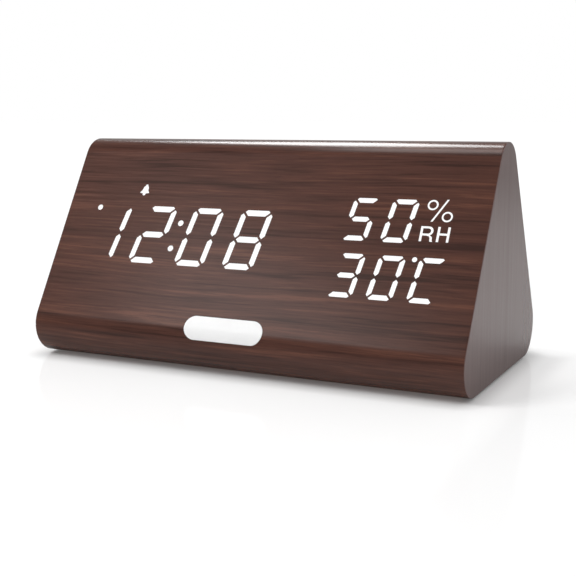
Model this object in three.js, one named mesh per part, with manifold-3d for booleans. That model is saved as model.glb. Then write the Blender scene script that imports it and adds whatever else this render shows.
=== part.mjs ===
// Triangular wooden digital clock with time, humidity and temperature displays.
// Millimetres, +Z up, front faces -Y, origin at the middle of the surface it stands on.

import * as THREE from 'three';
import { mergeVertices } from 'three/addons/utils/BufferGeometryUtils.js';
import Module from 'manifold-3d';

const wasm = await Module();
wasm.setup();

// Clearances and smoothness shared by all pieces
const running = 0.3;
const glueLine = 0.2;
const seat = 0.2;
const solderGap = 0.1;
const overrun = 2;
const arcDivisions = 5;
const cornerDivisions = 2;
const pillDivisions = 8;
const roundSides = 16;
const smallSides = 10;
const screwSides = 8;

// Wooden housing
const body = {
  width: 150,
  depth: 76.2,
  height: 71.3,
  frontRadius: 9.8,
  rearRadius: 10,
  topRadius: 9.5,
  ridgeOffset: 2.2,
  film: 0.6,
  wall: 5,
  floor: 7,
  endPanel: 5,
};
const foot = { radius: 4.5, thickness: 2, standoff: 0.5, insetX: 7, insetY: 18 };

// Display windows in the wood, counted from the body's ends and from both ends of the front slope
const windows = { leftEnd: 10, rightEnd: 8.8, between: 18, corner: 1.5 };
const timeOpening = { low: 16.4, topRoom: 10.284 };
const climateOpening = { low: 10.4, topRoom: 10.684 };
const timeWindowShare = 0.649293;

// Lit characters, whose rows are counted from the windows' edges
const timeDigit = { widthShare: 0.64525, stroke: 2.18, gap: 0.75, corner: 1.95, waist: 0.45 };
const climateDigit = { widthShare: 0.690476, stroke: 1.75, gap: 0.65, corner: 1.5, waist: 0.36 };
const slantDegrees = 8.13;
const timeRow = { text: '1208', leftRoom: 2.25, rightRoom: 3.02, lowRoom: 3.25, highRoom: 9.5 };
const humidityRow = { text: '50', leftRoom: 3.1, highRoom: 3.45 };
const temperatureRow = { text: '30C', leftRoom: 2.3, rightRoom: 1.44, lowRoom: 2.85 };
const rowGap = 4.1;
const colon = { radius: 1.12, spread: 4.55 };
const alarmDot = { radius: 1.05, inset: 3.1, drop: 10.95 };
const degreeDot = { radius: 0.8, inset: 0.6, drop: 0.8 };

// Modules that fill the windows
const lightCase = { front: 0.1, flange: 1.5, low: 2.5, topRoom: 2.684, flangeSide: 2.4 };
const guide = { plate: 1.2, recess: 0.05, barClearance: 0.12, margin: 0.4 };
const boss = { radius: 2.6, insetX: 6, insetY: 3.2 };
const displayBoard = { endRoom: 0.9, thickness: 1.6, low: 2.8, topRoom: 2.984, corner: 1 };
const led = { length: 1.6, width: 0.8, height: 0.9 };
const driverChip = { length: 18, width: 7.5, height: 2.2, x: -28, drop: 17.3 };
const screw = { shank: 1.2, head: 2.5, headHeight: 1.5, bite: 3.6, slotWidth: 0.7, slotDepth: 0.7 };

// Blank pill label on the lower front
const badge = { width: 27.7, height: 7.6, x: -2.65, y: -0.35, thickness: 0.2, adhesive: 0.05, margin: 0.1 };

// Controls in the rear wall
const controlRowY = 31;
const button = { radius: 3.5, proud: 1.2, crown: 0.5, flange: 4.7, flangeThickness: 0.9, pitch: 13 };
const plunger = { radius: 1.7, height: 2, bore: 2.1 };
const tactSwitch = { side: 6, height: 3.4, boreDepth: 2.6 };
const controlBoard = { low: 14, high: 40, thickness: 1.6, depth: 12, corner: 1 };
const bracket = { thickness: 1.5, bossRoom: 3.5, bossY: 27 };
const bracketWindow = { sideRoom: 1.5, height: 17, corner: 2 };
const jack = { x: 29, nose: 3.8, bore: 2.8, pin: 1, boreDepth: 8, base: 9, shoulder: 6.4, lip: 0.4 };
const grille = { x: -29, lip: 5.3, lipHeight: 0.8, sleeve: 4.3, inner: 3.5, plate: 1.2 };
const grilleSlot = { count: 3, length: 5.4, width: 0.9, pitch: 1.9 };
const sensor = { length: 3, width: 3, height: 1.6, port: 0.5, shift: 1.8 };
const microphone = { radius: 1.6, height: 1.5, port: 0.5, shift: 1.8 };
const buzzer = { radius: 6, height: 8.5, port: 1, portDepth: 1, x: -16, y: 22 };
const backupCell = { radius: 10, thickness: 3.2 };
const cellHolder = { wall: 1, base: 1, x: 17, y: 27, gap: 10 };
const ribbon = { width: 10, thickness: 0.8, frontX: 34, frontY: 20, rearY: 18.5, bend: 9, steps: 14 };
const socket = { width: 13, depth: 4.2, height: 3.4 };

// Underside: base plate with the battery tray, door, cells and contacts
const base = { endRoom: 7.2, depth: 52, thickness: 2.8, corner: 3, ledgeX: 6, ledgeY: 3 };
const baseScrew = { insetX: 3, insetY: 4.5, bite: 6, recess: 0.2 };
const cell = { radius: 5.15, length: 43.3, nubRadius: 1.9, nubHeight: 1, pitch: 10.8, count: 3, edge: 0.5 };
const tray = { length: 51, wall: 1.4, sideRoom: 0.45, over: 0.4 };
const door = { thickness: 1.8, rim: 2, corner: 1.5 };
const lug = { length: 1.6, width: 7, thickness: 1.2, rise: 0.8, spacing: 18 };
const doorNotch = { width: 12, depth: 3.2, height: 0.9 };
const contact = { thickness: 0.4, width: 7.6, height: 8.4, bump: 1.6, bumpHeight: 0.5 };
const spring = { wire: 0.35, large: 3.2, small: 1.7, turns: 3, steps: 21, sides: 5 };

// Derived depths, counted inwards from the finished surface, and derived widths
const skinDepth = body.film + glueLine;
const wallDepth = skinDepth + body.wall;
const bottomZ = foot.standoff;
const floorTop = bottomZ + skinDepth + body.floor;
const tubeHalf = body.width / 2 - body.film;
const cavityHalf = tubeHalf - glueLine - body.endPanel;
const displayBoardHalf = cavityHalf - displayBoard.endRoom;
const baseHalf = cavityHalf - base.endRoom;
const bracketWindowHalf = jack.x + jack.base / 2 + bracketWindow.sideRoom;
const bracketBossX = bracketWindowHalf + bracket.bossRoom;
const controlHalf = bracketBossX + bracket.bossRoom;

// Finishes
const walnut = { color: 0x4b312a, roughness: 0.35, metalness: 0 };
const board = { color: 0x8a6a48, roughness: 0.9, metalness: 0 };
const blackPlastic = { color: 0x141414, roughness: 0.5, metalness: 0 };
const whiteLight = { color: 0xffffff, roughness: 0.3, metalness: 0 };
const pcbGreen = { color: 0x1d5a34, roughness: 0.5, metalness: 0 };
const steel = { color: 0xb8b8b8, roughness: 0.35, metalness: 1 };
const nickel = { color: 0xd0cfc8, roughness: 0.25, metalness: 1 };
const greyRubber = { color: 0x2a2a2a, roughness: 0.9, metalness: 0 };
const paleLabel = { color: 0xf4f4f2, roughness: 0.3, metalness: 0 };
const cellJacket = { color: 0x2f3f5c, roughness: 0.3, metalness: 0.3 };
const ribbonGrey = { color: 0xb9b9b9, roughness: 0.6, metalness: 0 };

// Solids

function solid(geometry) {
  const bare = geometry.clone();
  bare.deleteAttribute('normal');
  bare.deleteAttribute('uv');
  const merged = mergeVertices(bare);
  const index = merged.index.array;
  const corners = [];
  for (let i = 0; i < index.length; i += 3) {
    const [a, b, c] = [index[i], index[i + 1], index[i + 2]];
    if (a !== b && b !== c && c !== a) corners.push(a, b, c);
  }
  const vertProperties = new Float32Array(merged.attributes.position.array);
  const triVerts = new Uint32Array(corners);
  return new wasm.Manifold(new wasm.Mesh({ numProp: 3, vertProperties, triVerts }));
}

function cut(whole, tools) {
  return tools.reduce((left, tool) => left.subtract(tool), whole);
}

function join(parts) {
  return parts.reduce((sum, part) => sum.add(part));
}

function piece(name, manifold, finish) {
  const mesh = manifold.getMesh();
  const geometry = new THREE.BufferGeometry();
  geometry.setAttribute('position', new THREE.BufferAttribute(mesh.vertProperties, 3));
  geometry.setIndex(new THREE.BufferAttribute(mesh.triVerts, 1));
  geometry.computeVertexNormals();
  const part = new THREE.Mesh(geometry, new THREE.MeshStandardMaterial(finish));
  part.name = name;
  return part;
}

// Shapes

function rectangle(left, right, low, high, radius = 0) {
  const shape = new THREE.Shape();
  if (radius === 0) {
    shape.moveTo(left, low).lineTo(right, low).lineTo(right, high).lineTo(left, high);
    return shape;
  }
  shape.absarc(right - radius, low + radius, radius, -Math.PI / 2, 0);
  shape.absarc(right - radius, high - radius, radius, 0, Math.PI / 2);
  shape.absarc(left + radius, high - radius, radius, Math.PI / 2, Math.PI);
  shape.absarc(left + radius, low + radius, radius, Math.PI, 1.5 * Math.PI);
  return shape;
}

function centred(width, height, x, y, radius = 0) {
  return rectangle(x - width / 2, x + width / 2, y - height / 2, y + height / 2, radius);
}

function polygon(points) {
  return new THREE.Shape(points.map(([x, y]) => new THREE.Vector2(x, y)));
}

function disc(x, y, radius, sides = smallSides) {
  const turns = Array.from({ length: sides }, (_, place) => (place / sides) * 2 * Math.PI);
  return polygon(turns.map((turn) => [x + radius * Math.cos(turn), y + radius * Math.sin(turn)]));
}

// A plate whose outline is the shape, between two heights
function plate(shape, low, high, curveSegments = cornerDivisions) {
  const options = { depth: high - low, bevelEnabled: false, curveSegments };
  return new THREE.ExtrudeGeometry(shape, options).translate(0, 0, low);
}

// A round piece about Z from radius and height pairs that start and end on the axis
function turned(profile, x = 0, y = 0, sides = roundSides) {
  const points = profile.map(([radius, height]) => new THREE.Vector2(radius, height));
  return new THREE.LatheGeometry(points, sides).rotateX(Math.PI / 2).translate(x, y, 0);
}

function drum(x, y, radius, low, high, sides = roundSides) {
  return turned([[0, low], [radius, low], [radius, high], [0, high]], x, y, sides);
}

function box(x, y, z, width, depth, height) {
  return new THREE.BoxGeometry(width, depth, height).translate(x, y, z);
}

// Body section in the YZ plane: three tangent arcs

const sectionArcs = {
  front: { y: body.frontRadius - body.depth / 2, z: bottomZ + body.frontRadius, radius: body.frontRadius },
  rear: { y: body.depth / 2 - body.rearRadius, z: bottomZ + body.rearRadius, radius: body.rearRadius },
  top: { y: body.ridgeOffset, z: bottomZ + body.height - body.topRadius, radius: body.topRadius },
};

// Angle of the outward normal of the line that touches the lower arc and the top arc
function wallAngle(lower, side) {
  const along = new THREE.Vector2(sectionArcs.top.y - lower.y, sectionArcs.top.z - lower.z);
  const lean = Math.asin((lower.radius - sectionArcs.top.radius) / along.length());
  return along.angle() + side * (Math.PI / 2 - lean);
}

const frontAngle = wallAngle(sectionArcs.front, 1);
const rearAngle = wallAngle(sectionArcs.rear, -1);

function section(inset) {
  const { front, rear, top } = sectionArcs;
  const shape = new THREE.Shape();
  shape.absarc(rear.y, rear.z, rear.radius - inset, -Math.PI / 2, rearAngle);
  shape.absarc(top.y, top.z, top.radius - inset, rearAngle, frontAngle);
  shape.absarc(front.y, front.z, front.radius - inset, frontAngle, 1.5 * Math.PI);
  return shape;
}

// Turns a plate drawn in YZ and extruded along Z into one that runs along X
const alongX = new THREE.Matrix4().makeBasis(
  new THREE.Vector3(0, 1, 0),
  new THREE.Vector3(0, 0, 1),
  new THREE.Vector3(1, 0, 0),
);

function bar(shape, left, right, curveSegments = arcDivisions) {
  return plate(shape, left, right, curveSegments).applyMatrix4(alongX);
}

// Frames of the two sloping faces: X along the face, Y up the slope, Z outwards,
// with the origin where the slope leaves the lower round

function faceFrame(arc, angle, side) {
  const outward = new THREE.Vector3(0, Math.cos(angle), Math.sin(angle));
  const across = new THREE.Vector3(side, 0, 0);
  const upward = new THREE.Vector3().crossVectors(outward, across);
  const origin = new THREE.Vector3(0, arc.y, arc.z).addScaledVector(outward, arc.radius);
  return new THREE.Matrix4().makeBasis(across, upward, outward).setPosition(origin);
}

const frontFrame = faceFrame(sectionArcs.front, frontAngle, 1);
const rearFrame = faceFrame(sectionArcs.rear, rearAngle, -1);
const slopeTop = faceFrame(sectionArcs.top, frontAngle, 1);
const slopeEnds = [frontFrame, slopeTop].map((frame) => new THREE.Vector3().setFromMatrixPosition(frame));
const slopeLength = slopeEnds[0].distanceTo(slopeEnds[1]);

function onFace(frame, geometry) {
  return solid(geometry.clone().applyMatrix4(frame));
}

// Seven-segment characters

const segmentsOf = { 0: 'abcdef', 1: 'bc', 2: 'abged', 3: 'abgcd', 5: 'afgcd', 8: 'abcdefg', C: 'adef' };

// Outlines of one character's segments in its own upright box, each drawn in by the inset
function segmentOutlines(digit, inset) {
  const width = digit.width - 2 * inset;
  const height = digit.height - 2 * inset;
  const stroke = digit.stroke - 2 * inset;
  const mitre = (digit.gap / 2 + inset) * Math.SQRT2;
  const corner = digit.corner - inset * (2 - Math.SQRT2);
  const waist = digit.waist + inset * Math.SQRT2;
  const near = (corner - mitre) / 2;
  const far = (corner + mitre) / 2;
  const middle = height / 2;
  const start = stroke / 2 + 2 * mitre - waist;
  const upright = [
    [0, height - corner],
    [near, height - far],
    [stroke, height - stroke - mitre],
    [stroke, middle + waist + stroke / 2],
    [stroke / 2, middle + waist],
    [0, middle + waist + stroke / 2],
  ];
  const top = [
    [corner, height],
    [far, height - near],
    [stroke + mitre, height - stroke],
    [width - stroke - mitre, height - stroke],
    [width - far, height - near],
    [width - corner, height],
  ];
  const centre = [
    [start, middle],
    [start + stroke / 2, middle + stroke / 2],
    [width - start - stroke / 2, middle + stroke / 2],
    [width - start, middle],
    [width - start - stroke / 2, middle - stroke / 2],
    [start + stroke / 2, middle - stroke / 2],
  ];
  const flipX = (points) => points.map(([x, y]) => [width - x, y]);
  const flipY = (points) => points.map(([x, y]) => [x, height - y]);
  return {
    a: top,
    b: flipX(upright),
    c: flipX(flipY(upright)),
    d: flipY(top),
    e: flipY(upright),
    f: upright,
    g: centre,
  };
}

// The windows share the width that the body's ends and the wood between them leave
const windowRoom = body.width - windows.leftEnd - windows.between - windows.rightEnd;
const timeWindow = {
  left: windows.leftEnd - body.width / 2,
  right: windows.leftEnd - body.width / 2 + windowRoom * timeWindowShare,
  low: timeOpening.low,
  high: slopeLength - timeOpening.topRoom,
};
const climateWindow = {
  left: timeWindow.right + windows.between,
  right: body.width / 2 - windows.rightEnd,
  low: climateOpening.low,
  high: slopeLength - climateOpening.topRoom,
};

const lean = Math.tan(THREE.MathUtils.degToRad(slantDegrees));

// A character whose row of the text fits between the window's sides
function fittedDigit(digit, row, opening, height) {
  const span = opening.right - opening.left - row.leftRoom - row.rightRoom - lean * height;
  const pitch = span / (row.text.length - 1 + digit.widthShare);
  return { ...digit, height, pitch, width: pitch * digit.widthShare };
}

const timeHeight = timeWindow.high - timeWindow.low - timeRow.lowRoom - timeRow.highRoom;
const timeCharacter = fittedDigit(timeDigit, timeRow, timeWindow, timeHeight);
const timeBase = timeWindow.low + timeRow.lowRoom;

const temperatureBase = climateWindow.low + temperatureRow.lowRoom;
const climateHeight = (climateWindow.high - humidityRow.highRoom - temperatureBase - rowGap) / 2;
const climateCharacter = fittedDigit(climateDigit, temperatureRow, climateWindow, climateHeight);
const humidityBase = temperatureBase + climateHeight + rowGap;

function rowShapes(text, left, low, digit, inset) {
  const outlines = segmentOutlines(digit, inset);
  return [...text].flatMap((character, place) => {
    const start = left + place * digit.pitch + inset;
    return [...segmentsOf[character]].map((name) =>
      polygon(outlines[name].map(([x, y]) => [start + x + lean * (y + inset), low + inset + y])),
    );
  });
}

function timeShapes(inset) {
  const { pitch, width, height } = timeCharacter;
  const left = timeWindow.left + timeRow.leftRoom;
  const colonX = left + pitch + (pitch + width) / 2;
  const colonHeights = [-colon.spread, colon.spread].map((offset) => height / 2 + offset);
  const dotRadius = colon.radius - inset;
  const dots = colonHeights.map((y) => disc(colonX + lean * y, timeBase + y, dotRadius, roundSides));
  const alarm = { x: timeWindow.left + alarmDot.inset, y: timeWindow.high - alarmDot.drop };
  return [
    ...rowShapes(timeRow.text, left, timeBase, timeCharacter, inset),
    ...dots,
    disc(alarm.x, alarm.y, alarmDot.radius - inset, roundSides),
  ];
}

function climateShapes(inset) {
  const left = climateWindow.left + temperatureRow.leftRoom;
  const degreeX = left + (temperatureRow.text.length - 1) * climateCharacter.pitch + degreeDot.inset;
  const degreeY = temperatureBase + climateHeight - degreeDot.drop;
  const humidityLeft = climateWindow.left + humidityRow.leftRoom;
  return [
    ...rowShapes(humidityRow.text, humidityLeft, humidityBase, climateCharacter, inset),
    ...rowShapes(temperatureRow.text, left, temperatureBase, climateCharacter, inset),
    disc(degreeX, degreeY, degreeDot.radius - inset),
  ];
}

// Places shared by pieces that line up

const flangeFront = wallDepth + running;
const flangeRear = flangeFront + lightCase.flange;
const guideFront = flangeRear + seat;
const guideRear = guideFront + guide.plate;
const ledTip = guideRear + running;
const boardFront = ledTip + led.height;
const boardRear = boardFront + displayBoard.thickness;
const controlRear = controlBoard.depth + controlBoard.thickness;
const caseTop = slopeLength - lightCase.topRoom;
const displayBoardTop = slopeLength - displayBoard.topRoom;

function modulePlan(opening) {
  const left = Math.max(opening.left - lightCase.flangeSide, -cavityHalf + running);
  const right = Math.min(opening.right + lightCase.flangeSide, cavityHalf - running);
  return { left, right };
}

function bossPlaces(opening) {
  const plan = modulePlan(opening);
  const x = opening.left < 0 ? plan.left + boss.insetX : plan.right - boss.insetX;
  return [lightCase.low + boss.insetY, caseTop - boss.insetY].map((y) => ({ x, y }));
}

const displayScrews = [timeWindow, climateWindow].flatMap(bossPlaces);
const controlScrews = [-1, 1].map((side) => ({ x: side * bracketBossX, y: bracket.bossY }));
const buttonNames = ['set', 'up', 'down'];
const buttonX = buttonNames.map((name, place) => (place - (buttonNames.length - 1) / 2) * button.pitch);
const footBore = foot.radius + running;
const footPlaces = [-1, 1].flatMap((sideY) =>
  [-1, 1].map((sideX) => ({
    x: sideX * (body.width / 2 - foot.insetX),
    y: (sectionArcs.front.y + sectionArcs.rear.y) / 2 + sideY * foot.insetY,
  })),
);
const baseScrews = [-1, 1].flatMap((sideY) =>
  [-1, 1].map((sideX) => ({
    x: sideX * (baseHalf - baseScrew.insetX),
    y: sideY * (base.depth / 2 - baseScrew.insetY),
  })),
);

// Battery tray and door sizes follow the cells
const cellBottom = bottomZ + door.thickness + running;
const cellZ = cellBottom + cell.radius;
const trayInner = (cell.count - 1) * cell.pitch + 2 * (cell.radius + tray.sideRoom);
const trayTop = cellZ + cell.radius + tray.over;
const doorHalfX = tray.length / 2 + door.rim;
const doorHalfY = trayInner / 2 + door.rim;

// Screw along Z: the head's underside at z = 0, the shank going up to a point of 45 degrees
function screwBlank(bite) {
  return turned(
    [
      [0, -screw.headHeight],
      [screw.head, -screw.headHeight],
      [screw.head, -screw.headHeight / 2],
      [screw.shank, 0],
      [screw.shank, bite - screw.shank],
      [0, bite],
    ],
    0,
    0,
    screwSides,
  );
}

function crossSlots() {
  const length = 2 * screw.head * Math.SQRT1_2;
  return [0, Math.PI / 2].map((turn) =>
    solid(box(0, 0, -screw.headHeight, length, screw.slotWidth, 2 * screw.slotDepth).rotateZ(turn)),
  );
}

// Housing

function buildWoodenBody() {
  const half = tubeHalf - glueLine;
  const outer = solid(bar(section(skinDepth), -half, half));
  const hollow = solid(bar(section(wallDepth), -half - overrun, half + overrun));
  const above = floorTop + body.height;
  const room = solid(plate(centred(2 * body.width, 2 * body.depth, 0, 0), floorTop, above));
  const openings = [timeWindow, climateWindow].map(({ left, right, low, high }) => {
    const outline = rectangle(left, right, low, high, windows.corner);
    return onFace(frontFrame, plate(outline, -wallDepth - overrun, overrun));
  });
  const opening = centred(2 * (baseHalf - base.ledgeX), base.depth - 2 * base.ledgeY, 0, 0, base.corner);
  const pilot = screw.shank + running;
  const pilotTop = screw.bite - wallDepth;
  const tools = [
    hollow.intersect(room),
    ...openings,
    solid(plate(opening, -overrun, floorTop + overrun)),
    solid(plate(baseRebate(), -overrun, bottomZ + base.thickness + seat)),
    ...footPlaces.map(({ x, y }) => solid(drum(x, y, footBore, -overrun, foot.thickness + seat))),
    ...baseScrews.map(({ x, y }) => solid(drum(x, y, pilot, 0, floorTop + overrun, smallSides))),
    ...displayScrews.map(({ x, y }) =>
      onFace(frontFrame, drum(x, y, pilot, -wallDepth - overrun, pilotTop, smallSides)),
    ),
    ...rearHoles(wallDepth + overrun),
    ...controlScrews.map(({ x, y }) =>
      onFace(rearFrame, drum(x, y, pilot, -wallDepth - overrun, pilotTop, smallSides)),
    ),
  ];
  return piece('wooden_body', cut(outer, tools), board);
}

// Outline of the recess that takes the base plate
function baseRebate() {
  return centred(2 * (baseHalf + running), base.depth + 2 * running, 0, 0, base.corner + running);
}

// Button, jack and sensor holes through the rear wall down to a depth
function rearHoles(depth) {
  return [
    ...buttonX.map((x) => onFace(rearFrame, drum(x, controlRowY, button.radius + running, -depth, overrun))),
    onFace(rearFrame, drum(jack.x, controlRowY, jack.nose + running, -depth, overrun)),
    onFace(rearFrame, drum(grille.x, controlRowY, grille.sleeve + running, -depth, overrun)),
  ];
}

function buildEndPanel(name, side) {
  const near = side * cavityHalf;
  const far = side * (tubeHalf - glueLine);
  const panel = solid(bar(section(wallDepth + glueLine), Math.min(near, far), Math.max(near, far)));
  const low = floorTop + glueLine;
  const room = solid(plate(centred(2 * body.width, 2 * body.depth, 0, 0), low, low + body.height));
  return piece(name, panel.intersect(room), board);
}

function buildGrainWrap() {
  const outer = solid(bar(section(0), -tubeHalf, tubeHalf));
  const inner = solid(bar(section(body.film), -tubeHalf - overrun, tubeHalf + overrun));
  const lit = [...timeShapes(0), ...climateShapes(0)];
  const slots = lit.map((shape) => onFace(frontFrame, plate(shape, -skinDepth, overrun)));
  const tools = [
    inner,
    ...slots,
    solid(plate(baseRebate(), -overrun, floorTop)),
    ...footPlaces.map(({ x, y }) => solid(drum(x, y, footBore, -overrun, foot.thickness))),
    ...rearHoles(skinDepth),
    badgeLayer(-glueLine, badge.thickness + badge.adhesive, badge.margin),
  ];
  return piece('grain_wrap', cut(outer, tools), walnut);
}

function buildEndVeneer(name, side) {
  const near = side * tubeHalf;
  const far = (side * body.width) / 2;
  return piece(name, solid(bar(section(0), Math.min(near, far), Math.max(near, far))), walnut);
}

// The layer between two depths under the pill outline, drawn out by a margin
function badgeLayer(near, far, margin) {
  const half = badge.width;
  const outer = solid(bar(section(near), -half, half));
  const inner = solid(bar(section(far), -half - overrun, half + overrun));
  const height = badge.height + 2 * margin;
  const pill = centred(badge.width + 2 * margin, height, badge.x, badge.y, height / 2);
  const column = onFace(frontFrame, plate(pill, -body.frontRadius / 2, overrun, pillDivisions));
  return cut(outer, [inner]).intersect(column);
}

function buildBadgePlate() {
  return piece('badge_plate', badgeLayer(0, badge.thickness, 0), paleLabel);
}

// Display, drawn in the front face's own frame

function buildLightCase(name, opening, shapes) {
  const { left, right, low, high } = opening;
  const plan = modulePlan(opening);
  const nose = rectangle(left + running, right - running, low + running, high - running, windows.corner);
  const flange = rectangle(plan.left, plan.right, lightCase.low, caseTop, windows.corner);
  const places = bossPlaces(opening);
  const blank = join([
    solid(plate(nose, -flangeRear, -skinDepth - lightCase.front)),
    solid(plate(flange, -flangeRear, -flangeFront)),
    ...places.map(({ x, y }) => solid(drum(x, y, boss.radius, seat - boardFront, -flangeFront, smallSides))),
  ]);
  const slots = shapes.map((shape) => solid(plate(shape, -flangeRear - overrun, overrun)));
  const bores = places.map(({ x, y }) =>
    solid(drum(x, y, screw.shank + running, -boardRear, overrun, smallSides)),
  );
  return piece(name, cut(blank, [...slots, ...bores]), blackPlastic);
}

function buildLightGuide(name, opening, shapes) {
  const { left, right, low, high } = opening;
  const margin = guide.margin;
  const outline = rectangle(left + margin, right - margin, low + margin, high - margin, windows.corner);
  const bars = shapes.map((shape) => solid(plate(shape, -guideFront - guide.plate / 2, -guide.recess)));
  return piece(name, join([solid(plate(outline, -guideRear, -guideFront)), ...bars]), whiteLight);
}

// Middle of each lit segment, where its diode sits
function ledPlaces() {
  return [...timeShapes(0), ...climateShapes(0)].map((shape) => {
    const points = shape.getPoints(1);
    const sum = points.reduce((total, point) => total.add(point), new THREE.Vector2());
    return sum.divideScalar(points.length);
  });
}

function buildDisplayBoard() {
  const { low, corner } = displayBoard;
  const outline = rectangle(-displayBoardHalf, displayBoardHalf, low, displayBoardTop, corner);
  const chip = centred(driverChip.length, driverChip.width, driverChip.x, displayBoardTop - driverChip.drop);
  const populated = join([
    solid(plate(outline, -boardRear, -boardFront)),
    ...ledPlaces().map(({ x, y }) =>
      solid(plate(centred(led.length, led.width, x, y), -boardFront - led.height / 2, -ledTip)),
    ),
    solid(plate(chip, -boardRear - driverChip.height, solderGap - boardRear)),
  ]);
  const bores = displayScrews.map(({ x, y }) =>
    solid(drum(x, y, screw.shank + running, -boardRear - overrun, overrun, smallSides)),
  );
  return piece('display_board', cut(populated, bores), pcbGreen);
}

function buildDisplayScrews() {
  const bite = boardRear + seat - wallDepth + screw.bite;
  return displayScrews.map(({ x, y }, place) => {
    const part = piece(`display_screw_${place + 1}`, solid(screwBlank(bite - running)), steel);
    part.position.set(x, y, -boardRear - seat);
    return part;
  });
}

// Controls, drawn in the rear face's own frame

function buildControlBracket() {
  const { low, high, corner } = controlBoard;
  const outline = rectangle(-controlHalf, controlHalf, low, high, corner);
  const { height, corner: windowCorner } = bracketWindow;
  outline.holes.push(centred(2 * bracketWindowHalf, height, 0, controlRowY, windowCorner));
  const blank = join([
    solid(plate(outline, -flangeFront - bracket.thickness, -flangeFront)),
    ...controlScrews.map(({ x, y }) =>
      solid(drum(x, y, boss.radius, seat - controlBoard.depth, -flangeFront, smallSides)),
    ),
  ]);
  const bores = controlScrews.map(({ x, y }) =>
    solid(drum(x, y, screw.shank + running, -controlRear, overrun, smallSides)),
  );
  return piece('control_bracket', cut(blank, bores), blackPlastic);
}

function buildControlBoard() {
  const { low, high, depth, corner } = controlBoard;
  const blank = solid(plate(rectangle(-controlHalf, controlHalf, low, high, corner), -controlRear, -depth));
  const bores = controlScrews.map(({ x, y }) =>
    solid(drum(x, y, screw.shank + running, -controlRear - overrun, overrun, smallSides)),
  );
  return piece('control_board', cut(blank, bores), pcbGreen);
}

function buildControlScrews() {
  const bite = controlRear + seat - wallDepth + screw.bite;
  return controlScrews.map(({ x, y }, place) => {
    const part = piece(`control_screw_${place + 1}`, solid(screwBlank(bite - running)), steel);
    part.position.set(x, y, -controlRear - seat);
    return part;
  });
}

function buildTactSwitch(name, x) {
  const top = tactSwitch.height - controlBoard.depth + solderGap;
  const block = solid(
    plate(centred(tactSwitch.side, tactSwitch.side, x, controlRowY), solderGap - controlBoard.depth, top),
  );
  const boreLow = top - tactSwitch.boreDepth;
  const bore = solid(drum(x, controlRowY, plunger.bore, boreLow, top + overrun, smallSides));
  return piece(`${name}_switch`, cut(block, [bore]), blackPlastic);
}

const buttonInner = flangeFront + button.flangeThickness;

function buildButton(name, x) {
  const { radius, proud, crown, flange } = button;
  const cap = turned(
    [
      [0, -buttonInner],
      [flange, -buttonInner],
      [flange, -flangeFront],
      [radius, -flangeFront],
      [radius, proud - crown],
      [radius - crown, proud],
      [0, proud],
    ],
    x,
    controlRowY,
  );
  return piece(`${name}_button`, solid(cap), blackPlastic);
}

function buildPlunger(name, x) {
  const top = -buttonInner - solderGap;
  return piece(
    `${name}_plunger`,
    solid(drum(x, controlRowY, plunger.radius, top - plunger.height, top, smallSides)),
    nickel,
  );
}

function buildJack() {
  const { x, nose, bore, pin, boreDepth, base: side, shoulder, lip } = jack;
  const rear = solderGap - controlBoard.depth;
  const housing = join([
    solid(drum(x, controlRowY, nose, -shoulder - lip, 0)),
    solid(plate(centred(side, side, x, controlRowY), rear, -shoulder)),
  ]);
  const hole = solid(drum(x, controlRowY, bore, -boreDepth, overrun));
  const post = solid(drum(x, controlRowY, pin, -boreDepth - lip, -lip, smallSides));
  return piece('dc_jack', join([cut(housing, [hole]), post]), blackPlastic);
}

function buildGrille() {
  const { x, lip, lipHeight, sleeve, inner, plate: thickness } = grille;
  const cup = turned(
    [
      [inner, -wallDepth],
      [sleeve, -wallDepth],
      [sleeve, seat],
      [lip, seat],
      [lip, lipHeight],
      [0, lipHeight],
      [0, lipHeight - thickness],
      [inner, lipHeight - thickness],
      [inner, -wallDepth],
    ],
    x,
    controlRowY,
  );
  const { count, length, width, pitch } = grilleSlot;
  const openings = Array.from({ length: count }, (_, place) => {
    const y = controlRowY + (place - (count - 1) / 2) * pitch;
    return solid(plate(centred(length, width, x, y, width / 2), -thickness - overrun, overrun));
  });
  return piece('sensor_grille', cut(solid(cup), openings), blackPlastic);
}

function buildSensorPair() {
  const seatZ = solderGap - controlBoard.depth;
  const sensorX = grille.x - sensor.shift;
  const outline = centred(sensor.length, sensor.width, sensorX, controlRowY);
  const block = plate(outline, seatZ, seatZ + sensor.height);
  const port = drum(sensorX, controlRowY, sensor.port, seatZ + sensor.height / 2, overrun, smallSides);
  const { radius, height, port: holeRadius, shift } = microphone;
  const can = drum(grille.x + shift, controlRowY, radius, seatZ, seatZ + height, smallSides);
  const hole = drum(grille.x + shift, controlRowY, holeRadius, seatZ + height / 2, overrun, smallSides);
  return [
    piece('climate_sensor', cut(solid(block), [solid(port)]), blackPlastic),
    piece('microphone', cut(solid(can), [solid(hole)]), nickel),
  ];
}

function buildBuzzer() {
  const { x, y, radius, height, port, portDepth } = buzzer;
  const near = -controlRear - solderGap;
  const can = solid(drum(x, y, radius, near - height, near));
  const hole = solid(drum(x, y, port, near - height - overrun, near - height + portDepth, smallSides));
  return piece('buzzer', cut(can, [hole]), blackPlastic);
}

function buildBackupCell() {
  const { x, y, wall, base: thickness, gap } = cellHolder;
  const near = -controlRear - solderGap;
  const outer = backupCell.radius + running + wall;
  const inner = backupCell.radius + running;
  const depth = thickness + running + backupCell.thickness;
  const cup = solid(drum(x, y, outer, near - depth, near));
  const pocket = solid(drum(x, y, inner, near - depth - overrun, near - thickness));
  const notch = solid(box(x, y - outer, near - depth, gap, outer, 2 * (depth - thickness)));
  const coin = drum(x, y, backupCell.radius, near - depth, near - thickness - running);
  return [
    piece('backup_cell_holder', cut(cup, [pocket, notch]), blackPlastic),
    piece('backup_cell', solid(coin), steel),
  ];
}

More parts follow.
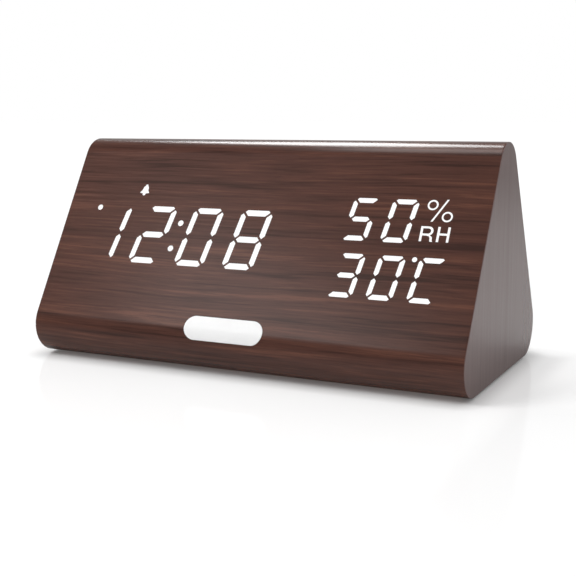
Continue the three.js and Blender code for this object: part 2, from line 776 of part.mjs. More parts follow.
function buildRibbonSocket(name, x, y, near) {
  const block = plate(centred(socket.width, socket.depth, x, y), near - socket.height, near);
  return piece(name, solid(block), paleLabel);
}

// Flat cable from the display board to the control board, in world coordinates
function buildRibbon() {
  const front = boardRear + solderGap + socket.height + running;
  const rear = controlRear + solderGap + socket.height + running;
  const start = new THREE.Vector3(0, ribbon.frontY, -front).applyMatrix4(frontFrame);
  const pull = new THREE.Vector3(0, ribbon.frontY, -front - ribbon.bend).applyMatrix4(frontFrame);
  const push = new THREE.Vector3(0, ribbon.rearY, -rear - ribbon.bend).applyMatrix4(rearFrame);
  const end = new THREE.Vector3(0, ribbon.rearY, -rear).applyMatrix4(rearFrame);
  const path = new THREE.CubicBezierCurve(
    ...[start, pull, push, end].map(({ y, z }) => new THREE.Vector2(y, z)),
  );
  const middle = path.getPoints(ribbon.steps);
  const sides = middle.map((point, place) => {
    const tangent = path.getTangent(place / ribbon.steps);
    const across = new THREE.Vector2(-tangent.y, tangent.x).multiplyScalar(ribbon.thickness / 2);
    return [point.clone().add(across), point.clone().sub(across)];
  });
  const back = sides.map(([, right]) => right).reverse();
  const outline = new THREE.Shape([...sides.map(([left]) => left), ...back]);
  const left = ribbon.frontX - ribbon.width / 2;
  return piece('ribbon_cable', solid(bar(outline, left, left + ribbon.width)), ribbonGrey);
}

// Underside

function doorOutline(clearance) {
  const x = doorHalfX + clearance;
  const y = doorHalfY + clearance;
  return rectangle(-x, x, -y, y, door.corner + clearance);
}

function lugPlaces() {
  return [-1, 1].map((side) => (side * lug.spacing) / 2);
}

function buildBasePlate() {
  const plateTop = bottomZ + base.thickness;
  const outline = centred(2 * baseHalf, base.depth, 0, 0, base.corner);
  const outerX = tray.length / 2 + tray.wall;
  const outerY = trayInner / 2 + tray.wall;
  const rimX = doorHalfX + tray.wall;
  const rimY = doorHalfY + tray.wall;
  const rimTop = plateTop + door.thickness;
  const blank = join([
    solid(plate(outline, bottomZ, plateTop)),
    solid(plate(rectangle(-rimX, rimX, -rimY, rimY, door.corner), bottomZ, rimTop)),
    solid(plate(rectangle(-outerX, outerX, -outerY, outerY), bottomZ, trayTop + tray.wall)),
  ]);
  const sinkTop = bottomZ + screw.headHeight + baseScrew.recess;
  const doorTop = bottomZ + door.thickness + running;
  const innerX = tray.length / 2;
  const innerY = trayInner / 2;
  const lugRoom = doorHalfX + lug.length + running;
  const lugLow = bottomZ + door.thickness + lug.rise - lug.thickness - running;
  const lugHalf = lug.width / 2 + running;
  const tools = [
    solid(plate(doorOutline(running), -overrun, doorTop)),
    solid(plate(rectangle(-innerX, innerX, -innerY, innerY), -overrun, trayTop)),
    ...lugPlaces().map((y) => {
      const pocket = rectangle(doorHalfX - door.rim, lugRoom, y - lugHalf, y + lugHalf);
      return solid(plate(pocket, lugLow, rimTop - tray.wall / 2));
    }),
    ...baseScrews.map(({ x, y }) => solid(drum(x, y, screw.shank + running, -overrun, rimTop, smallSides))),
    ...baseScrews.map(({ x, y }) => solid(drum(x, y, screw.head + running, -overrun, sinkTop, smallSides))),
  ];
  return piece('base_plate', cut(blank, tools), blackPlastic);
}

function buildBaseScrews() {
  return baseScrews.map(({ x, y }, place) => {
    const blank = cut(solid(screwBlank(baseScrew.bite)), crossSlots());
    const part = piece(`base_screw_${place + 1}`, blank, steel);
    part.position.set(x, y, bottomZ + screw.headHeight + baseScrew.recess - solderGap);
    return part;
  });
}

function buildBatteryDoor() {
  const panelTop = bottomZ + door.thickness;
  const panel = solid(plate(doorOutline(0), bottomZ, panelTop));
  const lugTop = panelTop + lug.rise;
  const lugEnd = doorHalfX + lug.length;
  const lugs = lugPlaces().map((y) => {
    const tongue = rectangle(doorHalfX - door.rim, lugEnd, y - lug.width / 2, y + lug.width / 2);
    return solid(plate(tongue, lugTop - lug.thickness, lugTop));
  });
  const notch = centred(2 * doorNotch.depth, doorNotch.width, -doorHalfX, 0, doorNotch.depth / 2);
  const grip = solid(plate(notch, -overrun, bottomZ + doorNotch.height));
  return piece('battery_door', cut(join([panel, ...lugs]), [grip]), blackPlastic);
}

function buildFeet() {
  const names = ['front_left_foot', 'front_right_foot', 'rear_left_foot', 'rear_right_foot'];
  return footPlaces.map(({ x, y }, place) =>
    piece(names[place], solid(drum(x, y, foot.radius, 0, foot.thickness)), greyRubber),
  );
}

// A cell along X, its positive end towards +X
function cellBlank() {
  const { radius, length, nubRadius, nubHeight, edge } = cell;
  return turned([
    [0, 0],
    [radius - edge, 0],
    [radius, edge],
    [radius, length - edge],
    [radius - edge, length],
    [nubRadius, length],
    [nubRadius, length + nubHeight],
    [0, length + nubHeight],
  ]).rotateY(Math.PI / 2);
}

const cellY = Array.from({ length: cell.count }, (_, place) => (place - (cell.count - 1) / 2) * cell.pitch);
const contactRoom = tray.length / 2 - contact.thickness - seat;
const cellEnd = contactRoom - contact.bumpHeight - running;
const cellFacing = cellY.map((y, place) => (place % 2 === 0 ? 1 : -1));

function buildCells() {
  return cellY.map((y, place) => {
    const facing = cellFacing[place];
    const blank = cellBlank();
    blank.translate(cellEnd - cell.length - cell.nubHeight, 0, 0);
    if (facing < 0) blank.rotateZ(Math.PI);
    return piece(`aaa_cell_${place + 1}`, solid(blank.translate(0, y, cellZ)), cellJacket);
  });
}

const springReach = contactRoom + cellEnd - cell.length - cell.nubHeight - running - spring.wire;

// Conical spring from the contact plate towards the cell, as one unbroken wire
class Cone extends THREE.Curve {
  getPoint(share, target = new THREE.Vector3()) {
    const turn = share * spring.turns * 2 * Math.PI;
    const radius = spring.large + (spring.small - spring.large) * share;
    return target.set(-share * springReach, radius * Math.cos(turn), radius * Math.sin(turn));
  }
}

function springBlank() {
  const wire = disc(0, 0, spring.wire, spring.sides);
  return new THREE.ExtrudeGeometry(wire, { steps: spring.steps, extrudePath: new Cone() });
}

function bumpBlank() {
  const { bump, bumpHeight } = contact;
  const profile = [[0, 0], [bump, 0], [bump / 2, bumpHeight], [0, bumpHeight]];
  return turned(profile, 0, 0, smallSides).rotateY(-Math.PI / 2);
}

// One strip across the ends of the listed cells: a bump meets a positive end, a spring a negative one
function buildContact(name, side, places) {
  const heights = places.map((place) => side * cellY[place]);
  const low = Math.min(...heights) - contact.width / 2;
  const high = Math.max(...heights) + contact.width / 2;
  const { thickness, height } = contact;
  const strip = box(contactRoom + thickness / 2, (low + high) / 2, cellZ, thickness, high - low, height);
  const details = places.map((place) => {
    const detail = cellFacing[place] === side ? bumpBlank() : springBlank();
    return detail.translate(contactRoom, side * cellY[place], cellZ);
  });
  const turn = side < 0 ? Math.PI : 0;
  return piece(name, join([strip, ...details].map((part) => solid(part.rotateZ(turn)))), nickel);
}

const clock = new THREE.Group();
clock.add(
  buildWoodenBody(),
  buildEndPanel('left_end_panel', -1),
  buildEndPanel('right_end_panel', 1),
  buildGrainWrap(),
  buildEndVeneer('left_end_veneer', -1),
  buildEndVeneer('right_end_veneer', 1),
  buildBadgePlate(),
);

const front = new THREE.Group();
front.applyMatrix4(frontFrame);
front.add(
  buildLightCase('time_display_case', timeWindow, timeShapes(0)),
  buildLightGuide('time_light_guide', timeWindow, timeShapes(guide.barClearance)),
  buildLightCase('climate_display_case', climateWindow, climateShapes(0)),
  buildLightGuide('climate_light_guide', climateWindow, climateShapes(guide.barClearance)),
  buildDisplayBoard(),
  ...buildDisplayScrews(),
  buildRibbonSocket('front_ribbon_socket', ribbon.frontX, ribbon.frontY, -boardRear - solderGap),
);
clock.add(front);

const rear = new THREE.Group();
rear.applyMatrix4(rearFrame);
rear.add(
  buildControlBracket(),
  buildControlBoard(),
  ...buildControlScrews(),
  buildJack(),
  buildGrille(),
  ...buildSensorPair(),
  buildBuzzer(),
  ...buildBackupCell(),
  buildRibbonSocket('rear_ribbon_socket', -ribbon.frontX, ribbon.rearY, -controlRear - solderGap),
);
buttonNames.forEach((name, place) => {
  const x = buttonX[place];
  rear.add(buildButton(name, x), buildPlunger(name, x), buildTactSwitch(name, x));
});
clock.add(rear, buildRibbon());

clock.add(
  buildBasePlate(),
  ...buildBaseScrews(),
  buildBatteryDoor(),
  ...buildFeet(),
  ...buildCells(),
  buildContact('negative_contact', -1, [0]),
  buildContact('right_bridge_contact', 1, [0, 1]),
  buildContact('left_bridge_contact', -1, [1, 2]),
  buildContact('positive_contact', 1, [2]),
);

export default clock;
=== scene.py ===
"""Looks of the triangular wooden digital clock, laid out as a Blender add-on."""

import math
from collections import namedtuple

import bmesh
import bpy
from mathutils import Euler, Matrix, Vector


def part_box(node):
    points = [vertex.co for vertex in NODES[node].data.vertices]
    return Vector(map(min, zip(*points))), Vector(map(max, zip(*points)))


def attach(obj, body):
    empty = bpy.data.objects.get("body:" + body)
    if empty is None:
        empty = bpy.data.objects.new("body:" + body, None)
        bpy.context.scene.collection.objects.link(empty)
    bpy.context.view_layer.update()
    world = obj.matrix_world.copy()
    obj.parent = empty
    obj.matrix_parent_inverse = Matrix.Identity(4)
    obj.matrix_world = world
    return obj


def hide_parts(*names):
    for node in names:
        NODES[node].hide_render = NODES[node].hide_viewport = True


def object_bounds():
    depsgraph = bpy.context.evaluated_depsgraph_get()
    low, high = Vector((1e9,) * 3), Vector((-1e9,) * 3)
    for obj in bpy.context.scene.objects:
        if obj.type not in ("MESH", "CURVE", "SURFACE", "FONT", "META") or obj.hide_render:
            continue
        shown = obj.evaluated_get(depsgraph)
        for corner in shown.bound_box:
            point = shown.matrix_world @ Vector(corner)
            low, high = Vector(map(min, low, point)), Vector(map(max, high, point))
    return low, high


bl_info = {
    "name": "Wooden Desk Clock",
    "version": (1, 0, 0),
    "blender": (4, 5, 0),
    "location": "View3D > Sidebar > Clock",
    "description": "Dresses a triangular wooden digital clock",
    "category": "Object",
}

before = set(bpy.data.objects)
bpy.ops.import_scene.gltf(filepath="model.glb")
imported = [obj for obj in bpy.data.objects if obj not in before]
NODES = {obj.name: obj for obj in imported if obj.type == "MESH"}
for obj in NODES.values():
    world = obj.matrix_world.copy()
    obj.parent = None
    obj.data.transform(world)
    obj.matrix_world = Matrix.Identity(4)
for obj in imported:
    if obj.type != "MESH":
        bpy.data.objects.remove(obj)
CAD_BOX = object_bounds()

MM = 0.001
WELD = 1e-7
SLACK = 1e-6
OVERRUN = 2 * MM
SHARP_ANGLE = math.radians(28)
SOFTENED_ANGLE = math.radians(35)
FULL_TURN = 2 * math.pi
QUARTER_TURN = math.pi / 2
MIDDLE = (0, 0)
CUT, JOIN, KEEP = "DIFFERENCE", "UNION", "INTERSECT"
BLACK_PLASTIC = "black_plastic"
WHITE = (1.0, 1.0, 1.0, 1.0)
METAL = {"Metallic": 1.0}

KEYS = ("set", "up", "down")
FEET = ("front_left_foot", "front_right_foot", "rear_left_foot", "rear_right_foot")
BASE_SCREWS = [f"base_screw_{place}" for place in range(1, 5)]

# Which segments each character lights
SEGMENTS = {"0": "abcdef", "1": "bc", "2": "abged", "3": "abgcd", "5": "afgcd", "8": "abcdefg", "C": "adef"}

# Proportions of the characters as shares of their height
Shares = namedtuple("Shares", "width side stroke gap corner waist pitch")
TIME_SHARES = Shares(width=0.5486, side=0.093, stroke=0.0987, gap=0.0352, corner=0.0905, waist=0.024, pitch=0.8686)
CLIMATE_SHARES = Shares(width=0.5975, side=0.1095, stroke=0.114, gap=0.0458, corner=0.1015, waist=0.025, pitch=0.894)

# Half outline of the bell as shares of its half width and height, from the crown to the clapper
BELL_SHARES = [
    (0, 1), (0.2, 0.975), (0.28, 0.91), (0.28, 0.86), (0.46, 0.8), (0.58, 0.68), (0.62, 0.52), (0.72, 0.42),
    (0.96, 0.32), (0.96, 0.23), (0.34, 0.2), (0.28, 0.07), (0, 0),
]

# Lit dots: place across and up the front slope, and radius
ALARM_DOT = ((-62.02 * MM, 39.17 * MM), 1.0 * MM)
DEGREE_DOT = ((54.6 * MM, 26.85 * MM), 0.8 * MM)
COLON_REACH, COLON_RADIUS = 4.55 * MM, 1.03 * MM

# Depths under the front face, and the hair's breadth left round and above what shines
SIGN_DEPTH = 0.2 * MM
BAR_DEPTH = 8.2 * MM
GUIDE_DEPTH = 7.8 * MM
HAIR = 0.02 * MM

# Plain pill label: middle on the front slope, and the share of its height that rounds its ends
LABEL_PLACE = (-2.65 * MM, -0.35 * MM)
LABEL_ROUND = 0.4999

# Places across the rear slope, whose X runs the other way, and radii of the film's holes
SOCKET_X, SENSOR_X = 29 * MM, -29 * MM
KEY_HOLE, SOCKET_HOLE, SENSOR_HOLE = 3.8 * MM, 4.1 * MM, 4.6 * MM

# Underside: play round the base plate, the door and the feet, place of the door's lugs, and radius of a foot
PLAY = 0.3 * MM
LUG_Y = 9 * MM
FOOT_RADIUS = 4.5 * MM

# Stage, in metres and degrees
CAMERA_PLACE = (0.160061, -0.313362, 0.083344)
CAMERA_TURN = (80.189, 0.458, 26.757)
LAMP_AIM = Vector((0, 0, 0.04))
FLOOR_HALF = 4
FLOOR_GREY = 0.8


def distance(name, description, millimetres):
    return bpy.props.FloatProperty(
        name=name, description=description, default=millimetres * MM, subtype="DISTANCE", unit="LENGTH", precision=5
    )


def colour(name, description, default):
    return bpy.props.FloatVectorProperty(
        name=name, description=description, default=default, subtype="COLOR", size=3, min=0, max=1
    )


def level(name, description, default):
    return bpy.props.FloatProperty(name=name, description=description, default=default, min=0)


class ClockSizes(bpy.types.PropertyGroup):
    """Sizes of the shell and of the details that show on it."""

    film: distance("Film", "Thickness of the grain film", 0.6)
    glue: distance("Glue line", "Gap that the glue fills under the film", 0.2)
    front_radius: distance("Front radius", "Round of the lower front edge", 9.8)
    rear_radius: distance("Rear radius", "Round of the lower rear edge", 10)
    top_radius: distance("Top radius", "Round of the ridge", 9.5)
    ridge_offset: distance("Ridge offset", "How far the ridge stands behind the middle", 2.2)
    edge: distance("Edge", "Bevel of the end skins", 0.2)
    arc_steps: bpy.props.IntProperty(name="Arc steps", description="Faces along each round", default=30, min=6)
    time_height: distance("Time height", "Height of the time's characters", 20.57)
    time_left: distance("Time left", "Left edge of the time row", -62.69)
    time_base: distance("Time base", "Base line of the time row", 19.84)
    climate_height: distance("Climate height", "Height of the climate characters", 14.2)
    humidity_left: distance("Humidity left", "Left edge of the humidity row", 29.64)
    humidity_base: distance("Humidity base", "Base line of the humidity row", 31.89)
    temperature_left: distance("Temperature left", "Left edge of the temperature row", 28.9)
    temperature_base: distance("Temperature base", "Base line of the temperature row", 13.43)
    slant: bpy.props.FloatProperty(
        name="Slant", description="Lean of the characters", default=math.radians(8.03), subtype="ANGLE"
    )
    label_width: distance("Label width", "Width of the plain pill label", 27.7)
    label_height: distance("Label height", "Height of the plain pill label", 7.6)
    control_row: distance("Control row", "Height of the controls up the rear slope", 31)


class ClockFinishes(bpy.types.PropertyGroup):
    """Colours of the clock's materials."""

    grain_dark: colour("Dark grain", "Darkest streaks of the film", (0.0495, 0.0227, 0.0177))
    grain_mid: colour("Middle grain", "Ground colour of the film", (0.091, 0.038, 0.028))
    grain_light: colour("Light grain", "Reddish light streaks of the film", (0.146, 0.0597, 0.0395))
    end_dark: colour("End dark", "Darker streaks of the ends", (0.150, 0.091, 0.084))
    end_light: colour("End light", "Lighter streaks of the ends", (0.182, 0.115, 0.107))
    lit: colour("Lit", "Colour of the lit characters", (1.0, 1.0, 1.0))
    label: colour("Label", "Colour of the plain label", (0.96, 0.96, 0.96))
    plastic: colour("Plastic", "Moulded plastic", (0.018, 0.018, 0.019))
    board: colour("Board", "Solder mask", (0.012, 0.1, 0.035))
    fibre: colour("Fibreboard", "Raw fibreboard", (0.34, 0.22, 0.125))


class ClockStudio(bpy.types.PropertyGroup):
    """Light round the clock, and the lens."""

    room: level("Room", "Level of the even room light", 0.64)
    # The floor's glow is painted light: low beside the clock and high away from it, it keeps the clock's shadow narrow
    near_glow: level("Near glow", "White that the floor adds beside the clock", 0.07)
    far_glow: level("Far glow", "White that the floor adds far from the clock", 0.37)
    lens: bpy.props.FloatProperty(name="Lens", description="Focal length", default=66.4, subtype="DISTANCE_CAMERA")


# Section of the shell: three rounds in the YZ plane, joined by straight walls


Round = namedtuple("Round", "y z radius")


def section_rounds():
    sizes = bpy.context.scene.clock_sizes
    low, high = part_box("grain_wrap")
    front = Round(low.y + sizes.front_radius, low.z + sizes.front_radius, sizes.front_radius)
    rear = Round(high.y - sizes.rear_radius, low.z + sizes.rear_radius, sizes.rear_radius)
    top = Round(sizes.ridge_offset, high.z - sizes.top_radius, sizes.top_radius)
    return front, rear, top


def wall_angle(lower, top, side):
    """Angle of the outward normal of the wall between a lower round and the ridge."""
    along = Vector((top.y - lower.y, top.z - lower.z))
    lean = math.asin((lower.radius - top.radius) / along.length)
    return math.atan2(along.y, along.x) + side * (QUARTER_TURN - lean)


def face_frame(side):
    """Frame of the front (side 1) or rear (-1) slope: X across, Y up the slope, Z outwards."""
    front, rear, top = section_rounds()
    lower = front if side > 0 else rear
    angle = wall_angle(lower, top, side)
    outward = Vector((0, math.cos(angle), math.sin(angle)))
    across = Vector((side, 0, 0))
    matrix = Matrix((across, outward.cross(across), outward)).transposed().to_4x4()
    matrix.translation = Vector((0, lower.y, lower.z)) + outward * lower.radius
    return matrix


def section_loop(bm, inset, x):
    """A closed loop of edges round the section at one X, drawn in by the inset."""
    front, rear, top = section_rounds()
    rear_angle = wall_angle(rear, top, -1)
    front_angle = wall_angle(front, top, 1)
    turns = ((rear, -QUARTER_TURN, rear_angle), (top, rear_angle, front_angle), (front, front_angle, 1.5 * math.pi))
    steps = bpy.context.scene.clock_sizes.arc_steps
    known = set(bm.edges)
    ends = []
    for arc, start, stop in turns:
        centre = Vector((x, arc.y, arc.z))
        first = bm.verts.new(centre + Vector((0, math.cos(start), math.sin(start))) * (arc.radius - inset))
        swept = bmesh.ops.spin(
            bm, geom=[first], cent=centre, axis=(1, 0, 0), angle=stop - start, steps=steps, use_merge=False
        )
        ends.append((first, swept["geom_last"][0]))
    for place, (_, last) in enumerate(ends):
        bm.edges.new((last, ends[(place + 1) % len(ends)][0]))
    return [edge for edge in bm.edges if edge not in known]


def extruded(bm, faces, vector):
    """Pulls the faces out along the vector into a closed solid."""
    swept = bmesh.ops.extrude_face_region(bm, geom=faces)
    moved = [part for part in swept["geom"] if isinstance(part, bmesh.types.BMVert)]
    bmesh.ops.translate(bm, verts=moved, vec=vector)


def shell(outer, inner, left, right):
    """A closed sleeve between two insets of the section."""
    bm = bmesh.new()
    edges = section_loop(bm, outer, left) + section_loop(bm, inner, left)
    made = bmesh.ops.bridge_loops(bm, edges=edges)
    extruded(bm, made["faces"], (right - left, 0, 0))
    bmesh.ops.recalc_face_normals(bm, faces=bm.faces)
    return bm


def slab(left, right):
    """A closed solid of the whole section between two X."""
    bm = bmesh.new()
    made = bmesh.ops.edgeloop_fill(bm, edges=section_loop(bm, 0, left))
    extruded(bm, made["faces"], (right - left, 0, 0))
    bmesh.ops.recalc_face_normals(bm, faces=bm.faces)
    return bm


# Mesh helpers


def metres(*pairs):
    """Pairs of millimetres in metres."""
    return [(first * MM, second * MM) for first, second in pairs]


def arc_points(centre, reach, start, stop, steps):
    """Points along an ellipse's arc, both ends included."""
    turns = [start + (stop - start) * step / steps for step in range(steps + 1)]
    return [(centre[0] + reach[0] * math.cos(turn), centre[1] + reach[1] * math.sin(turn)) for turn in turns]


def quarter(centre, radius, steps, start=0):
    """Points along a quarter of a circle."""
    return arc_points(centre, (radius, radius), start, start + QUARTER_TURN, steps)


def circle_points(centre, radius):
    return arc_points(centre, (radius, radius), 0, FULL_TURN, 40)[:-1]


def solids(shape, calls):
    """A new mesh with one prism, plate, round piece or drum for each call's values."""
    bm = bmesh.new()
    for values in calls:
        shape(bm, *values)
    return bm


def prism(bm, loops, low, high):
    """A solid whose outline is the first loop of XY points and whose holes are the others."""
    edges = []
    for loop in loops:
        corners = [bm.verts.new((x, y, low)) for x, y in loop]
        edges += [bm.edges.new((corners[place - 1], corner)) for place, corner in enumerate(corners)]
    made = bmesh.ops.triangle_fill(bm, use_beauty=True, use_dissolve=False, edges=edges)
    faces = [part for part in made["geom"] if isinstance(part, bmesh.types.BMFace)]
    if not faces:
        raise RuntimeError("an outline could not be filled")
    extruded(bm, faces, (0, 0, high - low))


def plate(bm, centre, width, height, radius, low, high, steps=8):
    """A plate with round corners between two heights."""
    verts = bmesh.ops.create_grid(bm, x_segments=1, y_segments=1, size=0.5)["verts"]
    bmesh.ops.scale(bm, verts=verts, vec=(width, height, 1))
    bmesh.ops.translate(bm, verts=verts, vec=(centre[0], centre[1], low))
    bmesh.ops.bevel(
        bm, geom=verts, offset=radius, offset_type="OFFSET", segments=steps, profile=0.5, affect="VERTICES",
        material=-1,
    )
    faces = [face for face in bm.faces if face.is_valid and all(edge.is_boundary for edge in face.edges)]
    extruded(bm, faces, (0, 0, high - low))


def block(half_x, half_y, radius, low, high):
    """A plate about the middle, from its half sizes."""
    return solids(plate, [(MIDDLE, 2 * half_x, 2 * half_y, radius, low, high)])


def spun(bm, profile, centre=MIDDLE, steps=64):
    """A round piece about Z from radius and height pairs."""
    corners = [bm.verts.new((radius, 0, height)) for radius, height in profile]
    chain = [bm.edges.new(pair) for pair in zip(corners, corners[1:])]
    known = set(bm.verts) - set(corners)
    bmesh.ops.spin(
        bm, geom=corners + chain, cent=(0, 0, 0), axis=(0, 0, 1), angle=FULL_TURN, steps=steps, use_merge=True
    )
    fresh = [vert for vert in bm.verts if vert not in known]
    bmesh.ops.translate(bm, verts=fresh, vec=(centre[0], centre[1], 0))
    bmesh.ops.remove_doubles(bm, verts=fresh, dist=WELD)
    bmesh.ops.recalc_face_normals(bm, faces=bm.faces)


def drum(bm, centre, radius, low, high):
    spun(bm, [(0, low), (radius, low), (radius, high), (0, high)], centre)


def soften(bm, offset, axis, place):
    """Rounds the sharp edges that lie at one place along an axis."""
    edges = [edge for edge in bm.edges if edge.is_manifold and edge.calc_face_angle(0) > SOFTENED_ANGLE]
    edges = [edge for edge in edges if all(abs(vert.co[axis] - place) < SLACK for vert in edge.verts)]
    bmesh.ops.bevel(
        bm, geom=edges, offset=offset, offset_type="OFFSET", segments=3, profile=0.5, affect="EDGES", material=-1,
        clamp_overlap=True,
    )


def mesh_of(bm, name):
    mesh = bpy.data.meshes.new(name)
    bm.to_mesh(mesh)
    bm.free()
    return mesh


def new_object(name, data):
    made = bpy.data.objects.new(name, data)
    bpy.context.scene.collection.objects.link(made)
    return made


def combined(body, operation, *tools):
    """The solid with each tool in turn cut from it, joined to it or kept as their overlap."""
    for tool in tools:
        bmesh.ops.recalc_face_normals(tool, faces=tool.faces)
        target = new_object("target", mesh_of(body, "target"))
        cutter = new_object("cutter", mesh_of(tool, "cutter"))
        step = target.modifiers.new("Combine", "BOOLEAN")
        step.operation = operation
        step.solver = "EXACT"
        step.object = cutter
        body = bmesh.new()
        body.from_object(target, bpy.context.evaluated_depsgraph_get())
        for part in (target, cutter):
            mesh = part.data
            bpy.data.objects.remove(part)
            bpy.data.meshes.remove(mesh)
        if not body.faces:
            raise RuntimeError("a cut left nothing")
        bmesh.ops.remove_doubles(body, verts=body.verts, dist=WELD)
    return body


def placed(bm, matrix):
    bmesh.ops.transform(bm, matrix=matrix, verts=bm.verts)
    return bm


def add_piece(name, bm, finishes, slot, *stands_for, body="housing"):
    """Makes the finished solid a piece of the clock that moves with the body."""
    bmesh.ops.remove_doubles(bm, verts=bm.verts, dist=WELD)
    bmesh.ops.recalc_face_normals(bm, faces=bm.faces)
    for face in bm.faces:
        face.smooth = True
    mesh = mesh_of(bm, name)
    mesh.set_sharp_from_angle(angle=SHARP_ANGLE)
    for finish in finishes:
        mesh.materials.append(finish)
    piece = new_object(name, mesh)
    piece.modifiers.new("Even shading", "WEIGHTED_NORMAL").keep_sharp = True
    if stands_for:
        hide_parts(*stands_for)
    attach(piece, body)


def middle_of(node):
    low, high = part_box(node)
    return (low + high) / 2


def rear_spot(x):
    """A place in the row of controls on the rear slope."""
    return x, bpy.context.scene.clock_sizes.control_row


def key_spot(name):
    return rear_spot(-middle_of(f"{name}_button").x)


# Characters and signs of the display


def segment_outlines(height, shares, inset):
    """Outlines of one character's segments in its upright box, each drawn in by the inset."""
    width, side, stroke, gap, corner, waist, _ = [height * share for share in shares]
    width, side, stroke, height = [size - 2 * inset for size in (width, side, stroke, height)]
    mitre = (gap / 2 + inset) * math.sqrt(2)
    corner -= inset * (2 - math.sqrt(2))
    waist += inset * math.sqrt(2)
    near, far = (corner - mitre) / 2, (corner + mitre) / 2
    middle, half = height / 2, stroke / 2
    tip = side / 2 + 2 * mitre - waist
    flat = tip + half
    upright = [
        (0, height - corner), (near, height - far), (side, height - side - mitre),
        (side, middle + waist + side / 2), (side / 2, middle + waist), (0, middle + waist + side / 2),
    ]
    centre = [
        (tip, middle), (flat, middle + half), (width - flat, middle + half),
        (width - tip, middle), (width - flat, middle - half), (flat, middle - half),
    ]
    top = [
        (corner, height), (far, height - near), (stroke + mitre, height - stroke),
        (width - stroke - mitre, height - stroke), (width - far, height - near), (width - corner, height),
    ]

    def across(points):
        return [(width - x, y) for x, y in points]

    def down(points):
        return [(x, height - y) for x, y in points]

    lower = down(upright)
    return dict(a=top, b=across(upright), c=across(lower), d=down(top), e=lower, f=upright, g=centre)


def row_outlines(text, left, base, height, shares, inset):
    lean = math.tan(bpy.context.scene.clock_sizes.slant)
    outlines = segment_outlines(height, shares, inset)
    rows = []
    for place, character in enumerate(text):
        start = left + place * height * shares.pitch + inset
        for name in SEGMENTS[character]:
            rows.append([(start + x + lean * (y + inset), base + inset + y) for x, y in outlines[name]])
    return rows


def dot_outline(dot, inset):
    place, radius = dot
    return circle_points(place, radius - inset)


def time_outlines(inset):
    """Outlines of the time, its colon and the alarm's dot."""
    sizes = bpy.context.scene.clock_sizes
    height = sizes.time_height
    colon_x = sizes.time_left + height * (1.5 * TIME_SHARES.pitch + TIME_SHARES.width / 2)
    colon = [
        ((colon_x + math.tan(sizes.slant) * y, sizes.time_base + y), COLON_RADIUS)
        for y in (height / 2 - COLON_REACH, height / 2 + COLON_REACH)
    ]
    rows = row_outlines("1208", sizes.time_left, sizes.time_base, height, TIME_SHARES, inset)
    return rows + [dot_outline(dot, inset) for dot in (*colon, ALARM_DOT)]


def climate_outlines(inset):
    """Outlines of the humidity, the temperature and the degree's dot."""
    sizes = bpy.context.scene.clock_sizes
    rows = (("50", sizes.humidity_left, sizes.humidity_base), ("30C", sizes.temperature_left, sizes.temperature_base))
    made = [row_outlines(*row, sizes.climate_height, CLIMATE_SHARES, inset) for row in rows]
    return [*made[0], *made[1], dot_outline(DEGREE_DOT, inset)]


def percent_parts():
    """Two rings and a slash."""
    ring, hole, half_slash = 1.685, 1.13, 0.33
    (low_x, low_y), (high_x, high_y) = (57.42, 39.2), (61.4, 46.45)
    slash = [
        (low_x - half_slash, low_y), (low_x + half_slash, low_y),
        (high_x + half_slash, high_y), (high_x - half_slash, high_y),
    ]
    rings = [[circle_points(centre, ring), circle_points(centre, hole)] for centre in ((56.93, 44.57), (61.96, 40.88))]
    return [*rings, [slash]]


def letter_parts():
    """The letters R and H."""
    low, high, bowl_low = 32.76, 37.63, 34.65
    stem, bar = 0.75, 0.66
    left = 54.63
    bowl, bowl_reach = (57.05, (high + bowl_low) / 2), (1.58, (high - bowl_low) / 2)
    outline = [
        (left, low), (left, high),
        *arc_points(bowl, bowl_reach, QUARTER_TURN, -0.36 * math.pi, 14),
        *arc_points((56.85, 33.85), (1.72, 1.0), math.radians(50), math.radians(-5), 6),
        (58.6, 33.2), (58.82, low), (57.96, low), (57.84, 33.3), (57.8, 33.95), (57.45, 34.46),
        (56.7, bowl_low), (left + stem, bowl_low), (left + stem, low),
    ]
    counter = [
        (left + stem, bowl_low + bar),
        *arc_points(bowl, (bowl_reach[0] - stem, bowl_reach[1] - bar), -QUARTER_TURN, QUARTER_TURN, 10),
        (left + stem, high - bar),
    ]
    near, far, cross_low, cross_high = 59.88, 63.7, 34.9, 35.57
    aitch = [
        (near, low), (near + stem, low), (near + stem, cross_low), (far - stem, cross_low), (far - stem, low),
        (far, low), (far, high), (far - stem, high), (far - stem, cross_high), (near + stem, cross_high),
        (near + stem, high), (near, high),
    ]
    return [[outline, counter], [aitch]]


def bell_parts():
    """The alarm's bell."""
    middle, low, half, height = -45.86, 44.16, 1.78, 4.2
    lean = math.tan(math.radians(5))
    right = [(x * half, y * height) for x, y in BELL_SHARES]
    points = right + [(-x, y) for x, y in reversed(right[1:-1])]
    return [[[(middle + x + lean * y, low + y) for x, y in points]]]


def lit_signs():
    """The loops of each lit sign's parts, by the name of its piece."""
    signs = {
        "lit_percent_sign": percent_parts(),
        "lit_humidity_letters": letter_parts(),
        "lit_alarm_bell": bell_parts(),
    }
    return {name: [[metres(*loop) for loop in loops] for loops in parts] for name, parts in signs.items()}


# Shader nodes


def fill(tree, node, inputs):
    """Links each of the node's inputs to a socket, or sets its constant."""
    for key, value in inputs.items():
        if isinstance(value, bpy.types.NodeSocket):
            tree.links.new(value, node.inputs[key])
        else:
            node.inputs[key].default_value = value


def new_node(tree, kind, inputs=(), **settings):
    """Adds a node with its settings and inputs, and gives its outputs."""
    node = tree.nodes.new(f"ShaderNode{kind}")
    for name, value in settings.items():
        setattr(node, name, value)
    fill(tree, node, dict(inputs))
    return node.outputs


def mixed(tree, share, first, second):
    """Colour between two, by the share."""
    return new_node(tree, "Mix", {0: share, 6: first, 7: second}, data_type="RGBA")[2]


